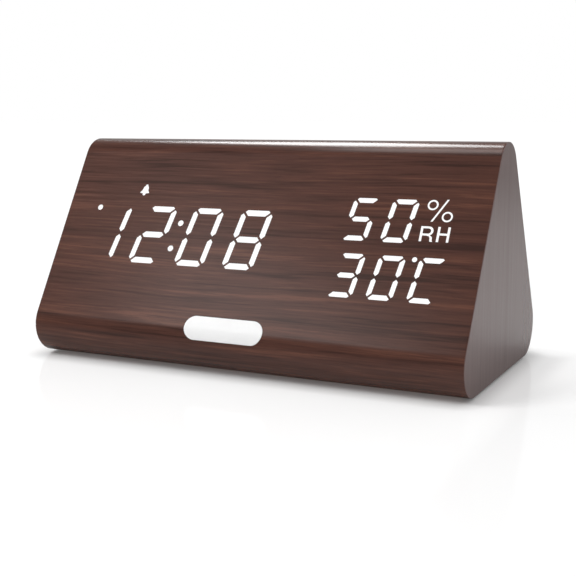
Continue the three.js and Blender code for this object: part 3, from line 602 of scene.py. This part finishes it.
def maths(tree, operation, *values):
    return new_node(tree, "Math", dict(enumerate(values)), operation=operation)[0]


def product(tree, first, *others):
    for value in others:
        first = maths(tree, "MULTIPLY", first, value)
    return first


def vectors(tree, operation, *values):
    """Vector arithmetic, which gives a number for a length or a dot product."""
    outputs = new_node(tree, "VectorMath", dict(enumerate(values)), operation=operation)
    return outputs["Value" if operation in ("LENGTH", "DOT_PRODUCT") else "Vector"]


def spread(tree, value, low, high, to_low=0.0, to_high=1.0):
    """A value's range, smoothly stretched to another."""
    inputs = {0: value, 1: low, 2: high, 3: to_low, 4: to_high}
    return new_node(tree, "MapRange", inputs, interpolation_type="SMOOTHSTEP")[0]


def streaks(tree, vector, along, across, detail, roughness=0.5):
    """Noise with its own scale along X and across it."""
    stretched = new_node(tree, "Mapping", {0: vector, 3: (along, across, across)})[0]
    inputs = {"Vector": stretched, "Scale": 1.0, "Detail": detail, "Roughness": roughness}
    return new_node(tree, "TexNoise", inputs)


def clouds(tree, vector, scale, detail=2.0):
    return new_node(tree, "TexNoise", {"Vector": vector, "Scale": scale, "Detail": detail})[0]


def effect_group(name, colours, numbers, effect):
    """The node group of that name, made at its first use: a colour, a roughness and a height at each place."""
    if name in bpy.data.node_groups:
        return bpy.data.node_groups[name]
    group = bpy.data.node_groups.new(name, "ShaderNodeTree")
    given = {"Vector": "Vector", **dict.fromkeys(colours, "Color"), **dict.fromkeys(numbers, "Float")}
    for label, kind in given.items():
        group.interface.new_socket(name=label, in_out="INPUT", socket_type=f"NodeSocket{kind}")
    for label, kind in {"Color": "Color", "Roughness": "Float", "Height": "Float"}.items():
        group.interface.new_socket(name=label, in_out="OUTPUT", socket_type=f"NodeSocket{kind}")
    made = effect(group, group.nodes.new("NodeGroupInput").outputs)
    fill(group, group.nodes.new("NodeGroupOutput"), made)
    return group


def grain_effect(group, given):
    """Wood streaks that run along X: long waves, fine lines and short dark pores."""
    wander = vectors(group, "SUBTRACT", streaks(group, given["Vector"], 11, 45, 2)["Color"], (0.5, 0.5, 0.5))
    warped = vectors(group, "ADD", given["Vector"], vectors(group, "MULTIPLY", wander, (0.0, 0.003, 0.003)))
    fine = streaks(group, warped, 34, 1400, 4, 0.6)[0]
    middle = streaks(group, warped, 14, 460, 3, 0.6)[0]
    broad = streaks(group, warped, 5, 120, 2)[0]
    mass = maths(group, "MULTIPLY_ADD", middle, 0.34, maths(group, "MULTIPLY", fine, 0.42))
    mass = maths(group, "MULTIPLY_ADD", broad, 0.24, mass)
    ground = mixed(group, spread(group, mass, 0.38, 0.51), given["Dark"], given["Middle"])
    ground = mixed(group, spread(group, mass, 0.5, 0.63), ground, given["Light"])
    strokes = streaks(group, warped, 150, 3600, 2, 0.6)[0]
    pores = maths(group, "MULTIPLY", spread(group, strokes, 0.56, 0.68), given["Pores"])
    return {
        "Color": mixed(group, maths(group, "MULTIPLY", pores, 0.4), ground, given["Dark"]),
        "Roughness": maths(group, "MULTIPLY_ADD", pores, 0.03, spread(group, mass, 0.35, 0.65, 0.23, 0.2)),
        "Height": maths(group, "MULTIPLY_ADD", pores, -0.1, mass),
    }


def mottle_effect(group, given):
    """Fine uneven surface with larger patches of more or less shine."""
    cloud = clouds(group, given["Vector"], given["Scale"], 4.0)
    patch = clouds(group, given["Vector"], maths(group, "MULTIPLY", given["Scale"], 0.12))
    lift = maths(group, "SUBTRACT", given["Rough"], given["Smooth"])
    return {
        "Color": mixed(group, spread(group, cloud, 0.35, 0.65), given["First"], given["Second"]),
        "Roughness": maths(group, "MULTIPLY_ADD", spread(group, patch, 0.35, 0.65), lift, given["Smooth"]),
        "Height": cloud,
    }


def new_material(name):
    """An empty material with its surface shader, and its object coordinates."""
    material = bpy.data.materials.new(name)
    material.use_nodes = True
    tree = material.node_tree
    tree.nodes.clear()
    shader = tree.nodes.new("ShaderNodeBsdfPrincipled")
    new_node(tree, "OutputMaterial", {0: shader.outputs[0]})
    return material, tree, shader, new_node(tree, "TexCoord")["Object"]


def bump(tree, height, reach, strength=1.0):
    return new_node(tree, "Bump", {"Height": height, "Distance": reach, "Strength": strength})[0]


def opaque(rgb):
    return (*rgb, 1.0)


def tinted(rgb, factor):
    return tuple(min(1.0, channel * factor) for channel in rgb)


def effect_material(name, group, given, mapping, relief, strength=1.0, extra=()):
    """The material of that name, made at its first use from a node group."""
    if name in bpy.data.materials:
        return bpy.data.materials[name]
    material, tree, shader, place = new_material(name)
    given["Vector"] = new_node(tree, "Mapping", {0: place, **mapping})[0]
    made = new_node(tree, "Group", given, node_tree=group)
    normal = bump(tree, made["Height"], relief, strength)
    inputs = {"Base Color": made["Color"], "Roughness": made["Roughness"], "Normal": normal}
    fill(tree, shader, {**inputs, **dict(extra)})
    return material


def wood_material(name, turn, dark, middle, light, pores):
    """Lacquered grain film whose streaks run along X before the turn."""
    group = effect_group("Wood streaks", ("Dark", "Middle", "Light"), ("Pores",), grain_effect)
    given = {"Dark": opaque(dark), "Middle": opaque(middle), "Light": opaque(light), "Pores": pores}
    return effect_material(name, group, given, {2: turn}, 0.008 * MM, 0.08)


def plain_material(name, first, second, scale, smooth, rough, height=0.01, extra=(), stretch=(1, 1, 1)):
    """A finely mottled finish whose relief is given in millimetres."""
    group = effect_group("Surface mottle", ("First", "Second"), ("Scale", "Smooth", "Rough"), mottle_effect)
    given = {"First": opaque(first), "Second": opaque(second), "Scale": scale, "Smooth": smooth, "Rough": rough}
    return effect_material(name, group, given, {3: stretch}, height * MM, extra=extra)


def lit_material():
    """White light through a diffuser."""
    lit = bpy.context.scene.clock_finishes.lit
    glow = {"Emission Color": opaque(lit), "Emission Strength": 0.92}
    return plain_material("lit_white", tinted(lit, 0.1), tinted(lit, 0.14), 1400, 0.32, 0.4, extra=glow)


def board_material():
    """Solder mask over copper tracks."""
    mask = bpy.context.scene.clock_finishes.board
    material, tree, shader, place = new_material("solder_mask")
    turned = new_node(tree, "Mapping", {0: place, 2: (0.4, 0.0, 0.0), 3: (700, 700, 700)})[0]
    inputs = {"Vector": turned, "Scale": 1.0, "Mortar Size": 0.09, "Brick Width": 2.3, "Row Height": 0.8}
    tracks = new_node(tree, "TexBrick", inputs, offset=0.37)["Fac"]
    cells = new_node(tree, "TexVoronoi", {"Vector": place, "Scale": 260.0})[0]
    pads = spread(tree, cells, 0.1, 0.16, 1.0, 0.0)
    copper = mixed(tree, maths(tree, "MULTIPLY", tracks, 0.55), opaque(mask), opaque(tinted(mask, 2.2)))
    inputs = {
        "Base Color": mixed(tree, pads, copper, (0.6, 0.58, 0.5, 1.0)),
        "Roughness": spread(tree, pads, 0.0, 1.0, 0.38, 0.25),
        "Normal": bump(tree, maths(tree, "ADD", tracks, pads), 0.03 * MM),
    }
    fill(tree, shader, inputs)
    return material


def clock_wood():
    finishes = bpy.context.scene.clock_finishes
    return wood_material("walnut_film", (0, 0, 0), finishes.grain_dark, finishes.grain_mid, finishes.grain_light, 1.0)


def clock_end_wood():
    dark, light = bpy.context.scene.clock_finishes.end_dark, bpy.context.scene.clock_finishes.end_light
    middle = [(a + b) / 2 for a, b in zip(dark, light)]
    return wood_material("walnut_end", (0, QUARTER_TURN, 0), dark, middle, light, 0.3)


def clock_plastic():
    plastic = bpy.context.scene.clock_finishes.plastic
    return plain_material("moulded_plastic", plastic, tinted(plastic, 1.8), 2600, 0.42, 0.52, 0.012)


def clock_steel():
    return plain_material("plated_steel", (0.5, 0.5, 0.5), (0.68, 0.67, 0.65), 1800, 0.24, 0.38, 0.004, METAL)


# Operators


class BuildStage(bpy.types.Operator):
    """Sets the camera, the lamps, the room light and the pale floor"""

    bl_idname = "clock.stage"
    bl_label = "Stage"

    def execute(self, context):
        scene = context.scene
        studio = scene.clock_studio
        scene.view_settings.view_transform = "Standard"
        camera = new_object("camera", bpy.data.cameras.new("camera"))
        camera.location = CAMERA_PLACE
        camera.rotation_euler = Euler([math.radians(turn) for turn in CAMERA_TURN])
        camera.data.lens = studio.lens
        camera.data.sensor_width = 36
        camera.data.clip_start = 0.01
        scene.camera = camera
        self.light_room(scene, studio)
        self.lay_floor(studio)
        # Name, place, size and power, and whether gloss mirrors the lamp or matt surfaces take its light
        self.hang_lamp("key_softbox", (-0.8, -0.6, 1.0), (0.6, 0.6), 9.6, False)
        self.hang_lamp("rear_softbox", (-1.158, 1.467, 2.4), (0.79, 1.11), 32.0, True)
        self.hang_lamp("overhead_softbox", (-0.2, 0.0, 0.93), (0.3, 0.3), 0.72, True)
        self.hang_lamp("front_softbox", (-0.49, -0.737, 0.715), (0.41, 0.26), 0.55, True)
        return {"FINISHED"}

    def hang_lamp(self, name, place, size, power, reflected_shade):
        light = bpy.data.lights.new(name, "AREA")
        light.shape = "RECTANGLE"
        light.size, light.size_y = size
        light.energy = power
        lamp = new_object(name, light)
        lamp.location = place
        lamp.rotation_euler = (LAMP_AIM - Vector(place)).to_track_quat("-Z", "Y").to_euler()
        lamp.visible_glossy = reflected_shade
        lamp.visible_diffuse = not reflected_shade

    def light_room(self, scene, studio):
        """Even light for matt surfaces, and a white room with a dim ceiling for the camera and for gloss."""
        scene.world = bpy.data.worlds.new("room")
        scene.world.use_nodes = True
        tree = scene.world.node_tree
        tree.nodes.clear()
        path = new_node(tree, "LightPath")
        direction = new_node(tree, "TexCoord")["Generated"]
        axes = new_node(tree, "SeparateXYZ", {0: direction})
        wall = spread(tree, axes[2], 0.45, 0.75, 0.5, 0.06)
        behind = spread(tree, axes[1], -0.1, 0.15)
        shown = maths(tree, "MULTIPLY", wall, maths(tree, "MAXIMUM", behind, 0.08))
        shown = maths(tree, "MAXIMUM", shown, path["Is Camera Ray"])
        seen = maths(tree, "MAXIMUM", path["Is Glossy Ray"], path["Is Transmission Ray"])
        seen = maths(tree, "MAXIMUM", seen, path["Is Camera Ray"])
        even, shown = [
            new_node(tree, "Background", {0: WHITE, 1: strength})[0] for strength in (studio.room, shown)
        ]
        mix = new_node(tree, "MixShader", {0: seen, 1: even, 2: shown})[0]
        new_node(tree, "OutputWorld", {0: mix})

    def lay_floor(self, studio):
        """A pale floor, white for the camera, that keeps the clock's shadow, narrowed and lifted by painted light, and
        shows a painted shade in the clock's gloss; it is clear when seen from below.
        """
        bm = bmesh.new()
        bmesh.ops.create_grid(bm, x_segments=1, y_segments=1, size=FLOOR_HALF)
        floor = new_object("floor", mesh_of(bm, "floor"))
        material, tree, shader, place = new_material("pale_floor")
        path = new_node(tree, "LightPath")
        axes = new_node(tree, "SeparateXYZ", {0: place})
        corner = CAD_BOX[1] - Vector((3 * MM, 5 * MM, 0))
        outside = vectors(tree, "SUBTRACT", vectors(tree, "ABSOLUTE", place), (corner.x, corner.y, 0.0))
        reach = vectors(tree, "LENGTH", vectors(tree, "MAXIMUM", outside, (0.0, 0.0, 0.0)))
        glow = self.floor_glow(tree, place, reach, axes, studio)
        bounce = maths(tree, "MULTIPLY", path["Is Diffuse Ray"], 0.25)
        behind = new_node(tree, "NewGeometry")["Backfacing"]
        behind = maths(tree, "MULTIPLY", behind, path["Is Camera Ray"])
        beneath = maths(tree, "MULTIPLY", maths(tree, "LESS_THAN", reach, 0.1 * MM), path["Is Diffuse Ray"])
        inputs = {
            "Base Color": self.floor_grey(tree, reach, axes, path["Is Glossy Ray"]),
            "Roughness": spread(tree, clouds(tree, place, 6.0), 0.3, 0.7, 0.08, 0.1),
            "Specular IOR Level": 0.22,
            "Emission Color": WHITE,
            "Emission Strength": product(tree, glow, maths(tree, "MAXIMUM", bounce, path["Is Camera Ray"])),
            "Alpha": maths(tree, "SUBTRACT", 1.0, maths(tree, "MAXIMUM", behind, beneath)),
        }
        fill(tree, shader, inputs)
        floor.data.materials.append(material)

    def floor_grey(self, tree, reach, axes, gloss):
        """The floor's colour, with a painted shade of its own where the clock's gloss mirrors it: darker beside the
        clock, towards the front and far away.
        """
        # Painted shade in the reflections: dim beside the clock, in front of it and far off
        near = spread(tree, reach, 0.0, 0.025, 0.5, 0.95)
        far = spread(tree, reach, 0.3, 1.0, 1.0, 0.05)
        reflected_shade = product(tree, near, far, spread(tree, axes[1], -0.06, -0.02, 0.35, 1.0))
        return maths(tree, "MULTIPLY_ADD", maths(tree, "SUBTRACT", reflected_shade, FLOOR_GREY), gloss, FLOOR_GREY)

    def floor_glow(self, tree, place, reach, axes, studio):
        """Painted light that the floor adds: little beside the clock so that its shadow stays dark only there, more
        away from it, and a painted lift of the clock's shadow on the right.
        """
        # Painted light that narrows the clock's shadow: dim beside the clock, full about a centimetre away
        glow = spread(tree, reach, 0.0, 0.011, studio.near_glow, studio.far_glow)
        heading = vectors(tree, "DOT_PRODUCT", vectors(tree, "NORMALIZE", place), (-0.45, 0.893, 0.0))
        distant = spread(tree, heading, 0.85, 0.96, 0.5, 0.15)
        glow = maths(tree, "MULTIPLY_ADD", distant, spread(tree, reach, 0.1, 0.8), glow)
        # Painted light on the right of the clock: it lifts the clock's shadow towards the rear and dims the floor a
        # little towards the front
        clear = maths(tree, "MAXIMUM", spread(tree, axes[0], 0.083, 0.092), spread(tree, axes[1], 0.03, 0.038))
        rise = spread(tree, axes[1], -0.035, 0.015, -0.06, 0.14)
        shadow_lift = product(tree, clear, rise, spread(tree, axes[1], 0.05, 0.08, 1.0, 0.0))
        return maths(tree, "MULTIPLY_ADD", shadow_lift, spread(tree, axes[0], 0.062, 0.075), glow)


class BuildGrainSkin(bpy.types.Operator):
    """Wraps the front, top, rear and underside in grain film, open for the light, controls, base plate and feet"""

    bl_idname = "clock.grain_skin"
    bl_label = "Grain skin"

    def execute(self, context):
        sizes = context.scene.clock_sizes
        front, rear = face_frame(1), face_frame(-1)
        depth = sizes.film + sizes.glue
        lit = solids(prism, [([outline], -depth, OVERRUN) for outline in time_outlines(0) + climate_outlines(0)])
        parts = [loops for parts in lit_signs().values() for loops in parts]
        signs = solids(prism, [(loops, -SIGN_DEPTH, OVERRUN) for loops in parts])
        spots = [*map(key_spot, KEYS), rear_spot(SOCKET_X), rear_spot(SENSOR_X)]
        radii = (KEY_HOLE, KEY_HOLE, KEY_HOLE, SOCKET_HOLE, SENSOR_HOLE)
        holes = solids(drum, [(spot, radius, -depth, OVERRUN) for spot, radius in zip(spots, radii)])
        low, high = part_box("base_plate")
        half_x, half_y = (high.x - low.x) / 2 + PLAY, (high.y - low.y) / 2 + PLAY
        base = block(half_x, half_y, 3.3 * MM, -OVERRUN, 4 * MM)
        feet = solids(drum, [(middle_of(name), FOOT_RADIUS + PLAY, -OVERRUN, 2 * MM) for name in FEET])
        recess = label_layer(-0.2 * MM, 0.25 * MM, 0.1 * MM)
        low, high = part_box("grain_wrap")
        skin = shell(0, sizes.film, low.x, high.x)
        tools = (placed(lit, front), placed(signs, front), placed(holes, rear), base, feet, recess)
        skin = combined(skin, CUT, *tools)
        add_piece("grain_skin", skin, [clock_wood()], "wood_film", "grain_wrap")
        return {"FINISHED"}


def label_layer(outer, inner, margin):
    """The layer under the pill's outline between two depths of the front."""
    sizes = bpy.context.scene.clock_sizes
    layer = shell(outer, inner, -sizes.label_width, sizes.label_width)
    width, height = sizes.label_width + 2 * margin, sizes.label_height + 2 * margin
    pill = solids(plate, [(LABEL_PLACE, width, height, height * LABEL_ROUND, -4.9 * MM, OVERRUN, 24)])
    return combined(layer, KEEP, placed(pill, face_frame(1)))


class BuildEndSkins(bpy.types.Operator):
    """Closes both ends with veneer whose grain stands upright"""

    bl_idname = "clock.end_skins"
    bl_label = "End skins"

    def execute(self, context):
        for name in ("left_end", "right_end"):
            low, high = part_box(f"{name}_veneer")
            skin = slab(low.x, high.x)
            soften(skin, context.scene.clock_sizes.edge, 0, low.x if name == "left_end" else high.x)
            skin.normal_update()
            for face in skin.faces:
                face.material_index = 1 if abs(face.normal.x) < 0.1 else 0
            add_piece(f"{name}_skin", skin, [clock_end_wood(), clock_wood()], "wood_film", f"{name}_veneer")
        return {"FINISHED"}


class BuildLitDigits(bpy.types.Operator):
    """Makes the light guides whose bars are the lit segments of the time and the climate"""

    bl_idname = "clock.lit_digits"
    bl_label = "Lit digits"

    def execute(self, context):
        front = face_frame(1)
        for name, outlines in (("time", time_outlines), ("climate", climate_outlines)):
            node = f"{name}_light_guide"
            bars = solids(prism, [([outline], -BAR_DEPTH, -HAIR) for outline in outlines(HAIR)])
            guide = placed(combined(self.backing(node, front), JOIN, bars), front)
            add_piece(f"lit_{name}_digits", guide, [lit_material()], "light_guide", node)
        return {"FINISHED"}

    def backing(self, node, front):
        """The guide's back plate in the face's own frame, as large as its CAD node's."""
        inverse = front.inverted()
        points = [inverse @ vert.co for vert in NODES[node].data.vertices]
        low, high = [Vector([pick(point[axis] for point in points) for axis in range(3)]) for pick in (min, max)]
        return solids(plate, [((low + high) / 2, high.x - low.x, high.y - low.y, 1.5 * MM, low.z, -GUIDE_DEPTH)])


class BuildLitSigns(bpy.types.Operator):
    """Adds the lit percent sign, the letters for humidity and the alarm's bell"""

    bl_idname = "clock.lit_signs"
    bl_label = "Lit signs"

    def execute(self, context):
        for name, parts in lit_signs().items():
            sign = solids(prism, [(loops, -SIGN_DEPTH, -HAIR) for loops in parts])
            add_piece(name, placed(sign, face_frame(1)), [lit_material()], "light_guide")
        return {"FINISHED"}


class BuildLabel(bpy.types.Operator):
    """Lays the plain pill label into the lower front"""

    bl_idname = "clock.label"
    bl_label = "Label"

    def execute(self, context):
        pale = context.scene.clock_finishes.label
        finish = plain_material("gloss_label", pale, tinted(pale, 1.01), 500, 0.2, 0.24, 0.0005)
        add_piece("pill_label", label_layer(0, 0.2 * MM, 0), [finish], "label", "badge_plate")
        return {"FINISHED"}


class BuildKeys(bpy.types.Operator):
    """Turns the three round keys on the rear slope, each with its own sunk sign"""

    bl_idname = "clock.keys"
    bl_label = "Keys"

    def execute(self, context):
        paint = plain_material("sign_paint", (0.5, 0.49, 0.46), (0.58, 0.57, 0.54), 2000, 0.5, 0.6)
        radius, proud, crown, size = 3.5, 1.2, 0.5, 1.1
        ground = (proud - 0.27) * MM
        rounding = quarter((radius - crown, proud - crown), crown, 6)
        profile = metres(
            (0, -7), (4.5, -7), (4.7, -6.8), (4.7, -6.1), (radius, -6.1),
            *rounding, (radius - 1.4, proud - 0.06), (0, proud - 0.12),
        )
        up = [(size, -size * 0.7), (0, size), (-size, -size * 0.7)]
        down = [(x, -y) for x, y in reversed(up)]
        ring = [circle_points(MIDDLE, size), circle_points(MIDDLE, size * 0.6)]
        for name, loops in zip(KEYS, (ring, [up], [down])):
            spot = key_spot(name)
            shifted = [[(spot[0] + x, spot[1] + y) for x, y in metres(*loop)] for loop in loops]
            sign = solids(prism, [(shifted, ground, proud * MM + OVERRUN)])
            cap = combined(solids(spun, [(profile, spot)]), CUT, sign)
            for face in cap.faces:
                if abs(face.calc_center_median().z - ground) < 0.01 * MM:
                    face.material_index = 1
            cap = placed(cap, face_frame(-1))
            finishes = [clock_plastic(), paint]
            add_piece(f"{name}_key_cap", cap, finishes, BLACK_PLASTIC, f"{name}_button", body=f"{name}_key")
        return {"FINISHED"}


class BuildPowerSocket(bpy.types.Operator):
    """Makes the round power socket with its pin"""

    bl_idname = "clock.power_socket"
    bl_label = "Power socket"

    def execute(self, context):
        spot, rear = rear_spot(SOCKET_X), face_frame(-1)
        bore, pin = 2.8, 1.0
        profile = metres(
            (0, -6.9), (3.8, -6.9), *quarter((3.5, -0.3), 0.3, 5), (3, 0), (bore, -0.2), (bore, -6.2), (0, -6.2)
        )
        case = solids(plate, [(spot, 9 * MM, 9 * MM, 0.5 * MM, -11.9 * MM, -6.4 * MM, 3)])
        body = combined(solids(spun, [(profile, spot)]), JOIN, case)
        body = combined(body, CUT, solids(drum, [(spot, bore * MM, -6.35 * MM, OVERRUN)]))
        add_piece("power_socket", placed(body, rear), [clock_plastic()], BLACK_PLASTIC, "dc_jack")
        profile = metres((0, -6.5), (pin, -6.5), *quarter((pin - 0.4, -0.8), 0.4, 5), (0, -0.4))
        pin = placed(solids(spun, [(profile, spot, 32)]), rear)
        add_piece("socket_pin", pin, [clock_steel()], "nickel")
        return {"FINISHED"}


class BuildSensorCap(bpy.types.Operator):
    """Makes the slotted cap over the climate sensor"""

    bl_idname = "clock.sensor_cap"
    bl_label = "Sensor cap"

    def execute(self, context):
        spot = rear_spot(SENSOR_X)
        inner, outer, flange = 3.5, 4.3, 5.3
        profile = metres(
            (0, -0.4), (inner, -0.4), (inner, -5.8), (outer, -5.8), (outer, 0.2), (flange, 0.2),
            *quarter((flange - 0.4, 0.4), 0.4, 6), (0, 0.8),
        )
        slots = [
            ((spot[0], spot[1] + step * MM), length * MM, 0.9 * MM, 0.449 * MM, -OVERRUN, OVERRUN)
            for step, length in ((-1.9, 4.6), (0, 5.4), (1.9, 4.6))
        ]
        cap = combined(solids(spun, [(profile, spot)]), CUT, solids(plate, slots))
        cap = placed(cap, face_frame(-1))
        add_piece("sensor_cap", cap, [clock_plastic()], BLACK_PLASTIC, "sensor_grille")
        return {"FINISHED"}


class BuildUnderside(bpy.types.Operator):
    """Makes the base plate with its battery tray, and the battery door with a thumb grip"""

    bl_idname = "clock.underside"
    bl_label = "Underside"

    def execute(self, context):
        low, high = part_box("base_plate")
        door_low, door_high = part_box("battery_door")
        half_x, half_y = -door_low.x, door_high.y
        tray_x, tray_y = half_x - 2 * MM, half_y - 2 * MM
        wall, top, seat = 1.4 * MM, low.z + 2.8 * MM, 2.2 * MM
        base = block((high.x - low.x) / 2, (high.y - low.y) / 2, 3 * MM, low.z, top)
        soften(base, 0.4 * MM, 2, low.z)
        rim = block(half_x + wall, half_y + wall, 1.5 * MM, low.z + wall, top + 1.8 * MM)
        tray = block(tray_x + wall, tray_y + wall, 1 * MM, low.z + wall, high.z)
        opening = block(half_x + PLAY, half_y + PLAY, 1.8 * MM, -OVERRUN, low.z + 2.1 * MM)
        room = block(tray_x, tray_y, 0.4 * MM, -OVERRUN, high.z - wall)
        slots = [((half_x, side * LUG_Y), 3.9 * MM, 7.6 * MM, 0.2 * MM, 1.6 * MM, 4.4 * MM, 3) for side in (-1, 1)]
        head, shank, edge = 2.8 * MM, 1.5 * MM, 0.3 * MM
        profile = [
            (0, -OVERRUN), (head + edge, -OVERRUN), (head + edge, low.z), (head, low.z + edge), (head, seat),
            (shank, seat), (shank, top + OVERRUN), (0, top + OVERRUN),
        ]
        holes = solids(spun, [(profile, middle_of(name), 40) for name in BASE_SCREWS])
        base = combined(combined(base, JOIN, rim, tray), CUT, opening, room, solids(plate, slots), holes)
        add_piece("underside_plate", base, [clock_plastic()], BLACK_PLASTIC, "base_plate")
        self.make_door(door_low, door_high)
        return {"FINISHED"}

    def make_door(self, low, high):
        half, panel_top = -low.x, low.z + 1.8 * MM
        door = block(half, (high.y - low.y) / 2, 1.5 * MM, low.z, panel_top)
        soften(door, 0.3 * MM, 2, low.z)
        length = high.x - half + 2 * MM
        lugs = [
            ((high.x - length / 2, side * LUG_Y), length, 7 * MM, 0.3 * MM, panel_top - 0.4 * MM, high.z, 3)
            for side in (-1, 1)
        ]
        grips = [((-half, 0), 6.4 * MM, 12 * MM, 3.1 * MM, -OVERRUN, low.z + 0.9 * MM, 16)]
        for place in range(4):
            spot = -half + (5.2 + 1.6 * place) * MM
            grips.append(((spot, 0), 0.7 * MM, 12 * MM, 0.349 * MM, -OVERRUN, low.z + 0.4 * MM, 5))
        door = combined(combined(door, JOIN, solids(plate, lugs)), CUT, solids(plate, grips))
        add_piece("door_panel", door, [clock_plastic()], BLACK_PLASTIC, "battery_door", body="door")


class BuildFeet(bpy.types.Operator):
    """Turns the four soft feet"""

    bl_idname = "clock.feet"
    bl_label = "Feet"

    def execute(self, context):
        finish = plain_material("soft_rubber", (0.012, 0.012, 0.012), (0.03, 0.03, 0.03), 3200, 0.7, 0.85, 0.02)
        radius, thickness, hollow, edge = FOOT_RADIUS / MM, 2, 0.12, 0.4
        rounding = quarter((radius - edge, edge), edge, 5, -QUARTER_TURN)
        profile = metres((0, hollow), (2.6, hollow), (2.9, 0), *rounding, (radius, thickness), (0, thickness))
        for name in FEET:
            foot = solids(spun, [(profile, middle_of(name))])
            add_piece(f"soft_{name}", foot, [finish], "rubber", name)
        return {"FINISHED"}


class BuildBaseScrews(bpy.types.Operator):
    """Turns the four screws of the base plate, with cross recesses"""

    bl_idname = "clock.base_screws"
    bl_label = "Base screws"

    def execute(self, context):
        head, shank, dome = 2.5 * MM, 1.2 * MM, 1.5 * MM
        for name in BASE_SCREWS:
            low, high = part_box(name)
            spot = (low + high) / 2
            profile = [
                *arc_points((0, low.z + dome), (head, dome), -QUARTER_TURN, 0, 10),
                (shank, low.z + dome), (shank, high.z - shank), (0, high.z),
            ]
            cross = [
                solids(plate, [(spot, width * MM, height * MM, 0.1 * MM, low.z - OVERRUN, low.z + 0.8 * MM, 2)])
                for width, height in ((3.2, 0.7), (0.7, 3.2))
            ]
            screw = combined(solids(spun, [(profile, spot, 40)]), CUT, *cross)
            add_piece(name.replace("base", "cross"), screw, [clock_steel()], "steel", name)
        return {"FINISHED"}


class BuildCells(bpy.types.Operator):
    """Turns the three dry cells in the tray, with plain jackets"""

    bl_idname = "clock.cells"
    bl_label = "Cells"

    def execute(self, context):
        jacket = (0.027, 0.051, 0.107), (0.035, 0.062, 0.125)
        band = (0.5, 0.5, 0.48), (0.58, 0.58, 0.56)
        finishes = [clock_steel()]
        for name, colours in (("printed_jacket", jacket), ("cell_band", band)):
            finishes.append(plain_material(name, *colours, 1200, 0.25, 0.32, 0.004))
        for place in range(1, 4):
            name = f"aaa_cell_{place}"
            low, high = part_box(name)
            radius, length = (high.z - low.z) / 2 / MM, (high.x - low.x) / MM
            jacket_end, pole = length - 13, 1.9
            profile = metres(
                (0, 0.15), (radius - 1.4, 0.15), (radius - 1, 0), (radius - 0.4, 0), (radius, 0.4),
                (radius, jacket_end), *quarter((radius - 0.5, length - 1.5), 0.5, 5), (2.4, length - 1),
                (pole, length - 0.9), (pole, length - 0.2), (pole - 0.2, length), (0, length),
            )
            can = solids(spun, [(profile, MIDDLE, 48)])
            for face in can.faces:
                centre = face.calc_center_median() / MM
                if math.hypot(centre.x, centre.y) > radius - 0.6 and centre.z > 0.2:
                    face.material_index = 2 if centre.z > jacket_end else 1
            facing = 1 if place % 2 else -1
            spot = (low + high) / 2
            spot.x = low.x if facing > 0 else high.x
            can = placed(can, Matrix.Translation(spot) @ Matrix.Rotation(facing * QUARTER_TURN, 4, "Y"))
            add_piece(f"dry_cell_{place}", can, finishes, "cell_jacket", name)
        return {"FINISHED"}


class DressNodes(bpy.types.Operator):
    """Gives the CAD pieces that still show their finishes"""

    bl_idname = "clock.dress_nodes"
    bl_label = "Inner finishes"

    def execute(self, context):
        fibre = context.scene.clock_finishes.fibre
        fibre = plain_material("fibreboard", fibre, tinted(fibre, 0.72), 1500, 0.8, 0.95, 0.03)
        nickel = plain_material("nickel_plate", (0.62, 0.6, 0.56), (0.72, 0.7, 0.66), 1500, 0.18, 0.3, 0.004, METAL)
        ribbon = plain_material(
            "grey_ribbon", (0.3, 0.3, 0.3), (0.5, 0.5, 0.5), 1.0, 0.4, 0.55, 0.05, stretch=(1300, 40, 40)
        )
        connector = plain_material("pale_connector", (0.72, 0.7, 0.64), (0.8, 0.78, 0.72), 1500, 0.4, 0.5)
        board = board_material()
        finishes = {
            "wooden_body": fibre, "left_end_panel": fibre, "right_end_panel": fibre,
            "display_board": board, "control_board": board, "ribbon_cable": ribbon,
            "front_ribbon_socket": connector, "rear_ribbon_socket": connector, "microphone": nickel,
        }
        for name, node in NODES.items():
            if name.endswith(("_contact", "_plunger")):
                finishes[name] = nickel
            elif "_screw_" in name or name == "backup_cell":
                finishes[name] = clock_steel()
            self.paint(node, finishes.get(name) or clock_plastic())
        return {"FINISHED"}

    def paint(self, node, finish):
        if not node.material_slots:
            node.data.materials.append(finish)
        for slot in node.material_slots:
            slot.material = finish


class ClockPanel(bpy.types.Panel):
    """Lists the clock's sizes, finishes and pieces"""

    bl_idname = "VIEW3D_PT_clock"
    bl_label = "Wooden clock"
    bl_space_type = "VIEW_3D"
    bl_region_type = "UI"
    bl_category = "Clock"

    def draw(self, context):
        for group, kind in GROUPS.items():
            box = self.layout.box()
            for name in kind.__annotations__:
                box.prop(getattr(context.scene, group), name)
        for operator in OPERATORS:
            self.layout.operator(operator.bl_idname)


GROUPS = {"clock_sizes": ClockSizes, "clock_finishes": ClockFinishes, "clock_studio": ClockStudio}
OPERATORS = (
    BuildStage, BuildGrainSkin, BuildEndSkins, BuildLitDigits, BuildLitSigns, BuildLabel, BuildKeys,
    BuildPowerSocket, BuildSensorCap, BuildUnderside, BuildFeet, BuildBaseScrews, BuildCells, DressNodes,
)
CLASSES = (*GROUPS.values(), *OPERATORS, ClockPanel)


def register():
    for kind in CLASSES:
        bpy.utils.register_class(kind)
    for name, kind in GROUPS.items():
        setattr(bpy.types.Scene, name, bpy.props.PointerProperty(type=kind))


def unregister():
    for name in GROUPS:
        delattr(bpy.types.Scene, name)
    for kind in reversed(CLASSES):
        bpy.utils.unregister_class(kind)


def main():
    register()
    for operator in OPERATORS:
        family, name = operator.bl_idname.split(".")
        getattr(getattr(bpy.ops, family), name)()


if __name__ == "__main__":
    main()
